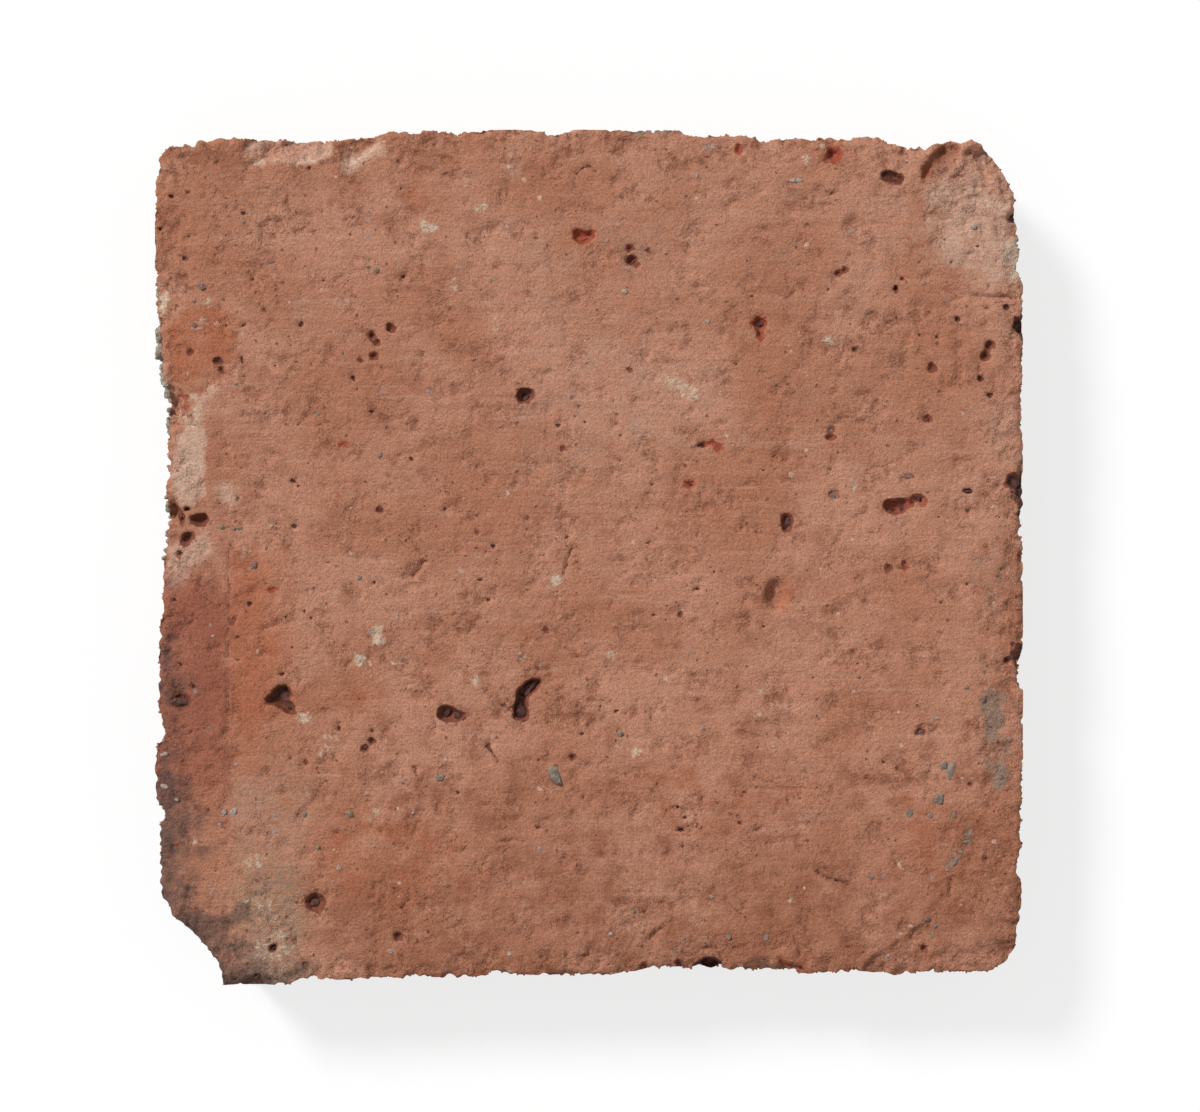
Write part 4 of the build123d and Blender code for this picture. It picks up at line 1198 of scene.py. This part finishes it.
def terracotta():
    s = Shading("terracotta", 0.9)
    s.shader.inputs["Specular IOR Level"].default_value = 0.2
    middle = s.noise(5.5, 4.0, 0.62)
    small = s.noise(1.3, 3.0, 0.65)
    drawn = s.noise(1.5, 3.0, 0.62, s.drawn)
    wide = s.spread(middle, 0.9)
    close = s.spread(small, 0.8)
    base = s.mix(s.band(s.noise(28.0, 2.0), 0.36, 0.64), CLAY_MID, CLAY_PINK)
    base = s.mix(s.scale(s.band(middle, 0.5, 0.68), 0.5), base, CLAY_DEEP_AND_SHADE)
    base = s.mix(s.scale(s.band(small, 0.5, 0.7), 0.45), base, CLAY_PINK)
    base = s.mix(s.scale(s.band(drawn, 0.54, 0.72), 0.25), base, CLAY_DEEP_AND_SHADE)
    base = s.mix(s.scale(s.band(drawn, 0.46, 0.3), 0.2), base, CLAY_BLEACH_AND_LIGHT)
    # Deeper clay, with painted shade in the torn nicks and over the top right chip
    base = s.mix(s.scale(s.broken("deep", wide, 0.0, 1.0), 0.8), base, CLAY_DEEP_AND_SHADE)
    # Orange clay, with painted light on the smooth dent's right slope
    base = s.mix(s.scale(s.broken("warm", wide, 0.0, 1.0), 0.85), base, CLAY_ORANGE_AND_LIGHT)
    base = s.mix(s.scale(s.layer("wall"), 0.8), base, WALL_BROWN)
    base = s.mix(s.scale(s.layer("under"), 0.8), base, SAND_TAN)
    # Bleached clay, with partly painted light on the top left chips
    base = s.mix(s.scale(s.broken("bleach", wide, 0.0, 1.1), 0.9), base, CLAY_BLEACH_AND_LIGHT)
    base = s.mix(s.scale(s.broken("ochre", wide, -0.1, 1.2), 0.85), base, CLAY_OCHRE)
    base = s.mix(s.scale(s.broken("band", wide, -0.1, 1.25), 0.95), base, CLAY_BAND)
    base = s.mix(s.scale(s.broken("scar", close, 0.1, 0.9), 0.7), base, CLAY_SCAR)
    base = s.mix(s.scale(s.broken("grey", close, 0.1, 0.9), 0.8), base, DIRT_GREY)
    base = s.mix(s.scale(s.broken("soot", wide, 0.05, 0.95), 0.85), base, CLAY_SOOT)
    # Lime cream, with painted highlights on the top left chips' steps
    base = s.mix(s.scale(s.broken("cream", s.spread(small, 1.5), 0.15, 1.05), 0.85), base, LIME_CREAM_AND_HIGHLIGHT)
    where = s.bent(1.1, 0.9)
    dark, _ = s.specks(2.3, 0.5, 0.2, where)
    pale, kind = s.specks(3.6, 0.66, 0.19, where)
    base = s.mix(s.scale(dark, 0.6), base, SPECK_DARK)
    base = s.mix(s.scale(pale, 0.65), base, s.mix(s.band(kind, 0.6, 0.62), SPECK_PALE, SPECK_BLUE))
    red, _ = s.specks(4.1, 0.6, 0.17, s.bent(1.7, 0.8))
    base = s.mix(s.scale(red, 0.5), base, IRON_EMBER)
    # Void walls, with painted shade in the smooth dent and over the top right chip's scarp
    base = s.mix(s.scale(s.broken("hollow", close, 0.25, 0.8), 0.92), base, VOID_BROWN_AND_SHADE)
    base = s.mix(s.scale(s.broken("ember", close, 0.2, 0.9), 0.85), base, IRON_EMBER)
    # Pits, scratches and chips darkened: partly their iron-brown, partly painted shade
    base = s.mix(s.scale(s.broken("pit", close, 0.3, 0.75), 0.9), base, PIT_IRON_AND_SHADE)
    grain = s.noise(0.42, 2.0, 0.6)
    base = s.mix(1.0, base, s.band(grain, 0.25, 0.75, 0.8, 1.2), "MULTIPLY")
    s.feed(s.shader.inputs["Base Color"], base)

    height = s.maths("ADD", s.scale(grain, 0.17), s.scale(s.noise(1.0, 2.0, 0.65), 0.26))
    height = s.maths("MULTIPLY", height, s.band(s.layer("crumb"), 0.0, 1.0, 1.0, 1.5))
    height = s.maths("ADD", height, s.scale(s.noise(0.65, 1.0, 0.6, s.drawn), 0.09))
    torn = s.maths("ADD", s.scale(s.layer("torn"), 0.1), 0.04)
    height = s.maths("SUBTRACT", height, s.maths("MULTIPLY", torn, s.band(s.noise(0.8, 3.0, 0.6), 0.52, 0.62)))
    height = s.maths("SUBTRACT", height, s.scale(dark, 0.14))
    s.feed(s.shader.inputs["Normal"], s.bump(height))
    s.feed(s.shader.inputs["Roughness"], s.band(small, 0.3, 0.7, 0.8, 0.97))
    return s.material


body.data.materials.clear()
body.data.materials.append(terracotta())

# ------------------------------------------------------------------ stones and mortar

def surface(x, y):
    """Height of the worn face at a point."""
    x = np.array([x])
    y = np.array([y])
    return float(THICKNESS - sample(form, x, y)[0] - sample(fine, x, y)[0])


def unit_ball(subdivisions):
    bm = bmesh.new()
    bmesh.ops.create_icosphere(bm, subdivisions=subdivisions, radius=1.0)
    points = np.array([vertex.co[:] for vertex in bm.verts])
    faces = np.array([[vertex.index for vertex in face.verts] for face in bm.faces])
    bm.free()
    return points, faces


BALLS = {"large": unit_ball(3), "small": unit_ball(2)}


def stone(x, y, z, size, turn, seed, facets, reach, rough, large_above=1.3):
    """Points of one stone: an uneven ball, cut flat at about reach of its radius on a few sides,
    and stretched to its three sizes. One longer than large_above has a finer mesh."""
    own = np.random.default_rng(seed)
    points = BALLS["large" if max(size) > large_above else "small"][0].copy()
    coarse = noise3(*(points * 1.2 + own.uniform(0, 50, 3)).T, 0.9, 5)
    points *= 1.0 + rough * (coarse + 0.5 * noise3(*(points * 3.0 + own.uniform(0, 50, 3)).T, 0.9, 6))[:, None]
    for _ in range(facets):
        normal = own.normal(size=3)
        normal /= np.linalg.norm(normal)
        over = np.clip(points @ normal - reach * own.uniform(0.85, 1.1), 0.0, None)
        points -= 0.92 * over[:, None] * normal
    points *= np.array(size) / 2
    c = math.cos(math.radians(turn))
    s = math.sin(math.radians(turn))
    spun = np.column_stack((points[:, 0] * c - points[:, 1] * s, points[:, 0] * s + points[:, 1] * c, points[:, 2]))
    return spun + np.array([x, y, z])


def join_stones(name, stones, material):
    """One object of many stones, riding on the tile and kept inside the solid's box."""
    points = inside_box(np.vstack(stones))
    faces = []
    first = 0
    for one in stones:
        ball = BALLS["large" if len(one) == len(BALLS["large"][0]) else "small"]
        faces.append(ball[1] + first)
        first += len(one)
    faces = np.vstack(faces)
    mesh = bpy.data.meshes.new(name)
    mesh.from_pydata((points * MM).tolist(), [], faces.tolist())
    obj = new_object(name, mesh)
    mesh.shade_smooth()
    mesh.materials.append(material)
    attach(obj, "root")
    return obj


def stone_material(name, first, second, roughness, cell):
    s = Shading(name, roughness)
    mottle = s.noise(cell, 4.0, 0.65)
    grain = s.noise(0.3, 2.0)
    base = s.mix(s.band(mottle, 0.38, 0.62), first, second)
    base = s.mix(1.0, base, s.band(grain, 0.3, 0.7, 0.85, 1.15), "MULTIPLY")
    s.feed(s.shader.inputs["Base Color"], base)
    height = s.maths("ADD", s.scale(mottle, 0.6), s.scale(grain, 0.12))
    s.feed(s.shader.inputs["Normal"], s.bump(height))
    s.feed(s.shader.inputs["Roughness"], s.band(mottle, 0.3, 0.7, roughness - 0.1, roughness + 0.1))
    return s.material


# Iron-rich lumps left in their voids: pixel, width, height, turn, depth of the top below the face
IRON = (
    (287, 701, 24, 12, -62, 0.9), (274, 699, 12, 8, 20, 1.9), (531, 688, 21, 10, 48, 0.9),
    (521, 699, 11, 9, 50, 1.7), (521, 713, 15, 16, 0, 0.8), (444, 713, 12, 14, 0, 0.9),
    (458, 717, 12, 9, -10, 0.8), (903, 507, 9, 7, 0, 1.1), (920, 500, 12, 10, 0, 0.7),
    (586, 240, 9, 6, 0, 0.8), (527, 396, 13, 11, 0, 0.9), (760, 323, 10, 9, 0, 0.7),
    (787, 525, 10, 14, 0, 0.5), (181, 701, 18, 14, 6, 0.1), (315, 903, 19, 16, -20, 0.45),
    (367, 744, 17, 9, 42, 0.25), (1018, 496, 8, 17, 0, 1.6),
    (1017, 452, 8, 10, 0, 1.4), (1015, 327, 8, 14, 0, 2.2), (1016, 660, 6, 13, 0, 1.4),
    (634, 262, 11, 8, 10, 0.8), (840, 272, 10, 6, 25, 0.5), (988, 352, 8, 14, -15, 0.7),
    (1014, 481, 17, 14, 0, 0.9), (398, 937, 8, 9, 0, 0.4), (272, 949, 8, 7, 0, 0.5),
    (391, 329, 8, 8, 0, 0.8), (376, 341, 6, 8, -30, 0.8), (219, 361, 9, 6, 0, 0.5), (222, 370, 5, 7, 0, 0.5),
    (190, 352, 6, 6, 0, 0.5), (831, 437, 11, 5, 10, 0.5), (928, 419, 10, 9, 0, 0.3),
    (932, 368, 9, 10, 0, 0.4), (691, 484, 9, 5, 10, 0.3), (704, 444, 7, 6, 0, 0.5),
    (889, 568, 8, 7, 0, 0.4), (905, 565, 6, 9, 0, 0.5), (273, 590, 9, 5, 10, 0.4),
    (563, 448, 6, 7, 0, 0.4), (306, 762, 6, 6, 0, 0.4), (415, 770, 5, 6, 0, 0.4),
    (572, 757, 7, 6, 0, 0.3), (233, 621, 5, 8, -20, 0.4), (968, 491, 13, 5, 0, 0.2),
    (380, 510, 7, 6, 0, 0.3), (257, 977, 7, 6, 0, 0.6), (926, 917, 7, 5, 20, 0.5),
    (228, 851, 12, 5, 0, 0.1), (350, 800, 6, 5, 0, 0.2), (841, 387, 12, 10, 0, 0.1),
    (186, 539, 11, 10, 40, 0.9), (198, 521, 14, 8, 10, 1.9),
)
# Grey, mauve and pale grits, flush with the face: pixel, width, height, turn
GREY = (
    (555, 774, 13, 24, 25), (951, 772, 14, 20, -20), (944, 766, 9, 12, 0), (939, 799, 10, 13, -25),
    (931, 815, 7, 6, 0), (910, 813, 8, 12, -20), (954, 815, 8, 11, 35), (971, 833, 6, 10, -20),
    (968, 842, 8, 7, 0), (960, 853, 7, 7, 0), (956, 862, 6, 14, -30), (948, 870, 7, 4, 30),
    (873, 877, 7, 6, -30), (349, 814, 9, 7, -20), (305, 814, 6, 8, 0), (440, 778, 10, 7, 35),
    (208, 728, 8, 6, 0), (380, 455, 6, 6, 0), (359, 578, 6, 6, 0), (318, 414, 5, 5, 0),
    (239, 528, 8, 5, -20), (243, 222, 5, 5, 0), (620, 734, 8, 6, 0), (967, 688, 6, 4, 0),
    (984, 672, 5, 5, 0), (318, 848, 5, 5, 0), (322, 876, 4, 5, 0), (404, 657, 5, 5, 0),
    (281, 249, 4, 4, 0), (368, 266, 6, 4, -30), (377, 270, 7, 5, -20), (342, 353, 5, 5, 0),
    (766, 937, 7, 10, -10), (633, 912, 6, 5, 0), (684, 939, 5, 5, 0), (933, 934, 5, 8, 0),
    (940, 917, 5, 4, 0), (889, 960, 5, 4, 0), (951, 888, 3, 15, 5), (707, 938, 4, 4, 0),
    (729, 937, 5, 7, 0), (673, 954, 5, 8, 0), (951, 261, 4, 6, -20), (945, 239, 4, 4, 0),
    (236, 384, 5, 4, 0), (229, 567, 6, 5, 0), (222, 527, 6, 6, 0), (234, 529, 6, 5, 0),
)
MAUVE = (
    (834, 495, 14, 10, -20), (831, 430, 10, 8, 0), (908, 476, 14, 6, 0), (920, 731, 10, 9, 0),
    (202, 286, 9, 9, 0), (194, 325, 8, 6, -20), (927, 920, 7, 5, 20),
    (936, 926, 5, 5, 0), (254, 566, 9, 9, 20), (818, 718, 7, 5, -40), (859, 677, 5, 5, 0),
    (1000, 912, 4, 4, 0), (237, 499, 5, 5, 0), (271, 262, 8, 4, 0),
    (983, 699, 6, 7, 0), (990, 726, 6, 5, 0), (997, 741, 5, 5, 0), (985, 744, 6, 4, 0), (1002, 778, 6, 5, 0),
)
PALE = (
    (703, 729, 7, 6, 0), (774, 747, 6, 4, 0), (625, 291, 8, 6, 0),
    (540, 849, 6, 8, 0), (236, 765, 5, 5, 0), (164, 755, 8, 6, 20), (164, 787, 9, 6, 0),
    (233, 812, 8, 10, 0), (224, 812, 7, 7, 0), (220, 825, 6, 6, 0), (176, 800, 5, 4, 0),
    (367, 794, 5, 5, 0), (911, 927, 6, 6, 0), (889, 956, 6, 4, 0), (797, 180, 16, 6, 0),
    (974, 227, 8, 7, 0), (708, 322, 6, 5, 0), (697, 175, 6, 6, 0), (707, 148, 8, 6, 0),
    (607, 240, 4, 4, 0), (490, 280, 5, 5, 0), (413, 813, 4, 4, 0), (333, 882, 4, 4, 0),
    (303, 894, 4, 4, 0), (339, 868, 6, 7, 0), (391, 951, 7, 7, 0), (611, 934, 6, 6, 0),
    (510, 954, 6, 6, 0), (936, 718, 8, 4, 0), (504, 601, 3, 3, 0),
    (637, 618, 3, 3, 0), (564, 580, 4, 4, 0), (213, 636, 4, 4, 0), (223, 815, 4, 4, 0),
    (271, 526, 5, 4, 0), (397, 615, 4, 4, 0), (437, 613, 5, 4, 0),
)


# An iron stone deeper than this is laid wider and lower than its table says
DEEP_STONE = 0.35
DEEP_GROWTH = 1.4
DEEP_DROP = 0.3
# How far the worn face lies below the nominal thickness on the whole
FACE_DROP = 0.3
# The share of a grit's height by which its middle lies below the face
GRIT_SUNK = 0.08
RIM_CRUMBS = 1300


def body_tree():
    """The finished body's surface, to set crumbs on, in millimetres."""
    points = read_points(body.data)
    faces = np.empty(len(body.data.loops), np.int32)
    body.data.loops.foreach_get("vertex_index", faces)
    return BVHTree.FromPolygons(points.tolist(), faces.reshape(-1, 3).tolist())


def clinging(x, y, z):
    """The point of the body's surface nearest to a place, and the direction out of it there."""
    spot, normal, _, _ = tree.find_nearest((x, y, z))
    return np.array(spot), np.array(normal)


tree = body_tree()


def iron_stones():
    """The iron-rich lumps. One that lies deep fills the bottom of its void."""
    made = []
    for index, (px, py, width, height, turn, depth) in enumerate(IRON):
        x, y = place(px, py)
        if depth > DEEP_STONE:
            width, height, depth = DEEP_GROWTH * width, DEEP_GROWTH * height, depth + DEEP_DROP
        tall = 0.6 * min(width, height) * PIXEL
        size = (width * PIXEL, height * PIXEL, tall)
        middle = THICKNESS - FACE_DROP - depth - tall / 2
        made.append(stone(x, y, middle, size, turn, IRON_SEED + index, 10, 0.52, 0.6))
    return made


def grits(rows, seed):
    """Grits that stand a little out of the face."""
    made = []
    for index, (px, py, width, height, turn) in enumerate(rows):
        x, y = place(px, py)
        tall = 0.5 * min(width, height) * PIXEL
        size = (width * PIXEL, height * PIXEL, tall)
        middle = surface(x, y) - GRIT_SUNK * tall
        made.append(stone(x, y, middle, size, turn, seed + index, 8, 0.74, 0.3))
    return made


# Where mortar clings to the walls: start and end in pixels, how many lumps, and how thick
MORTAR = (
    ((157, 284), (157, 299), 40, 0.5), ((157, 300), (159, 330), 30, 0.4), ((158, 330), (160, 358), 150, 1.7),
    ((160, 358), (165, 385), 110, 1.2), ((165, 385), (168, 425), 90, 0.7), ((168, 425), (168, 500), 60, 0.4),
    ((168, 500), (165, 560), 80, 0.6), ((606, 130), (684, 133), 150, 0.5), ((1020, 690), (1021, 800), 50, 0.3),
)


def mortar():
    """Lumps of old mortar on the walls, mostly along the left side."""
    own = np.random.default_rng(77)
    made = []
    for start, end, count, out in MORTAR:
        a = np.array(place(*start))
        b = np.array(place(*end))
        for _ in range(count):
            spot = a + (b - a) * own.random()
            near = loop[np.argmin(((loop - spot)**2).sum(axis=1))]
            outward = near / np.linalg.norm(near)
            size = (0.6 + 0.5 * out) * own.uniform(0.8, 2.3, 3)
            on_wall, normal = clinging(*(near + outward), own.uniform(7.0, THICKNESS - 1.6))
            where = on_wall + normal * own.uniform(0.0, 0.25) * size.min()
            made.append(stone(*where, size, own.uniform(0, 180), int(own.integers(1e6)), 6, 0.7, 0.6, 9.0))
    return made


def mortar_crust():
    """The lumps united into one rough crust."""
    look = stone_material("mortar", srgb(128, 116, 100), srgb(172, 162, 146), 0.95, 0.9)
    crust = join_stones("mortar_residue", mortar(), look)
    remesh(crust, MORTAR_VOXEL)
    points = read_points(crust.data)
    rough = 0.3 * noise3(*points.T, 1.1, 41) + 0.15 * noise3(*points.T, 0.6, 42)
    write_points(crust.data, inside_box(points + read_normals(crust.data) * rough[:, None]))
    crust.data.materials.clear()
    crust.data.materials.append(look)
    crust.data.shade_smooth()


def edge_crumbs():
    """The grains that stand out along the crumbled rim."""
    own = np.random.default_rng(78)
    made = []
    for _ in range(RIM_CRUMBS):
        spot = loop[own.integers(len(loop))]
        inward = -spot / np.linalg.norm(spot)
        where = spot + inward * own.uniform(0.0, 0.5)
        low = THICKNESS - 1.0 - sample(form, where[:1], where[1:])[0]
        size = own.uniform(0.3, 0.8, 3)
        spot, normal = clinging(where[0], where[1], low - own.uniform(0.0, 1.0)**2 * 12.0)
        where = spot + normal * 0.15 * size.min()
        made.append(stone(*where, size, own.uniform(0, 180), int(own.integers(1e6)), 3, 0.8, 0.4))
    return made


IRON_SLAG = stone_material("iron_slag", srgb(70, 40, 36), srgb(112, 68, 58), 0.75, 0.7)
GREY_GRIT = stone_material("grey_grit", srgb(112, 98, 86), srgb(142, 126, 110), 0.75, 1.4)
MAUVE_GRIT = stone_material("mauve_grit", srgb(112, 82, 78), srgb(140, 112, 108), 0.7, 1.2)
PALE_GRIT = stone_material("pale_grit", srgb(146, 120, 108), srgb(176, 156, 144), 0.6, 1.0)

join_stones("iron_stones", iron_stones(), IRON_SLAG)
join_stones("grey_grits", grits(GREY, GREY_SEED), GREY_GRIT)
join_stones("mauve_grits", grits(MAUVE, MAUVE_SEED), MAUVE_GRIT)
join_stones("pale_grits", grits(PALE, PALE_SEED), PALE_GRIT)
join_stones("edge_crumbs", edge_crumbs(), body.data.materials[0])
mortar_crust()

# ------------------------------------------------------------------ floor, light, camera

FLOOR_HALF = 3.0
FLOOR_GAP = 0.0002
FLOOR_GREY = 0.9
# The floor glows a little for the camera alone, so that it is white and still takes a shadow
FLOOR_GLOW = 1.05
FLOOR_GLOW_SHARE = 0.72
ROOM_STRENGTH = 0.38
KEY_STRENGTH = 3.1
KEY_ANGLE = 0.25
KEY_DIRECTION = (-0.55, 0.55, 0.62)
LENS = 100.0
SENSOR = 36.0


def paper():
    """White paper: a grey that takes shadows, mixed with a glow that only the camera sees."""
    material = bpy.data.materials.new("paper")
    material.use_nodes = True
    tree = material.node_tree
    diffuse = tree.nodes["Principled BSDF"]
    diffuse.inputs["Base Color"].default_value = (FLOOR_GREY, FLOOR_GREY, FLOOR_GREY, 1.0)
    diffuse.inputs["Roughness"].default_value = 1.0
    glow = tree.nodes.new("ShaderNodeEmission")
    glow.inputs["Strength"].default_value = FLOOR_GLOW
    seen = tree.nodes.new("ShaderNodeLightPath")
    share = tree.nodes.new("ShaderNodeMath")
    share.operation = "MULTIPLY"
    share.inputs[1].default_value = FLOOR_GLOW_SHARE
    blend = tree.nodes.new("ShaderNodeMixShader")
    tree.links.new(seen.outputs["Is Camera Ray"], share.inputs[0])
    tree.links.new(share.outputs[0], blend.inputs[0])
    tree.links.new(diffuse.outputs[0], blend.inputs[1])
    tree.links.new(glow.outputs[0], blend.inputs[2])
    tree.links.new(blend.outputs[0], tree.nodes["Material Output"].inputs["Surface"])
    return material


def white_floor():
    bm = bmesh.new()
    half = FLOOR_HALF
    corners = ((-half, -half, 0), (half, -half, 0), (half, half, 0), (-half, half, 0))
    bm.faces.new([bm.verts.new(corner) for corner in corners])
    mesh = bpy.data.meshes.new("floor")
    bm.to_mesh(mesh)
    bm.free()
    floor = new_object("floor", mesh)
    floor.location.z = -FLOOR_GAP
    mesh.materials.append(paper())
    return floor


def even_room():
    world = bpy.data.worlds.new("room")
    bpy.context.scene.world = world
    world.use_nodes = True
    background = world.node_tree.nodes["Background"]
    background.inputs["Color"].default_value = (1, 1, 1, 1)
    background.inputs["Strength"].default_value = ROOM_STRENGTH


def key_light():
    """The lamp at the upper left of the picture."""
    lamp = bpy.data.lights.new("key", "SUN")
    lamp.energy = KEY_STRENGTH
    lamp.angle = KEY_ANGLE
    key = new_object("key", lamp)
    key.rotation_euler = Vector(KEY_DIRECTION).to_track_quat("Z", "Y").to_euler()


def camera_above():
    """The camera looks straight down, from where the tile fills the frame as in the photograph."""
    data = bpy.data.cameras.new("camera")
    data.lens = LENS
    data.sensor_width = SENSOR
    camera = new_object("camera", data)
    x, y = place(*FRAME_CENTRE_PX)
    distance = FRAME_WIDTH_PX * PIXEL * LENS / SENSOR
    camera.location = (x * MM, y * MM, (THICKNESS + distance) * MM)
    return camera


floor = white_floor()
even_room()
key_light()
bpy.context.scene.camera = camera_above()
bpy.context.scene.view_settings.view_transform = "Standard"
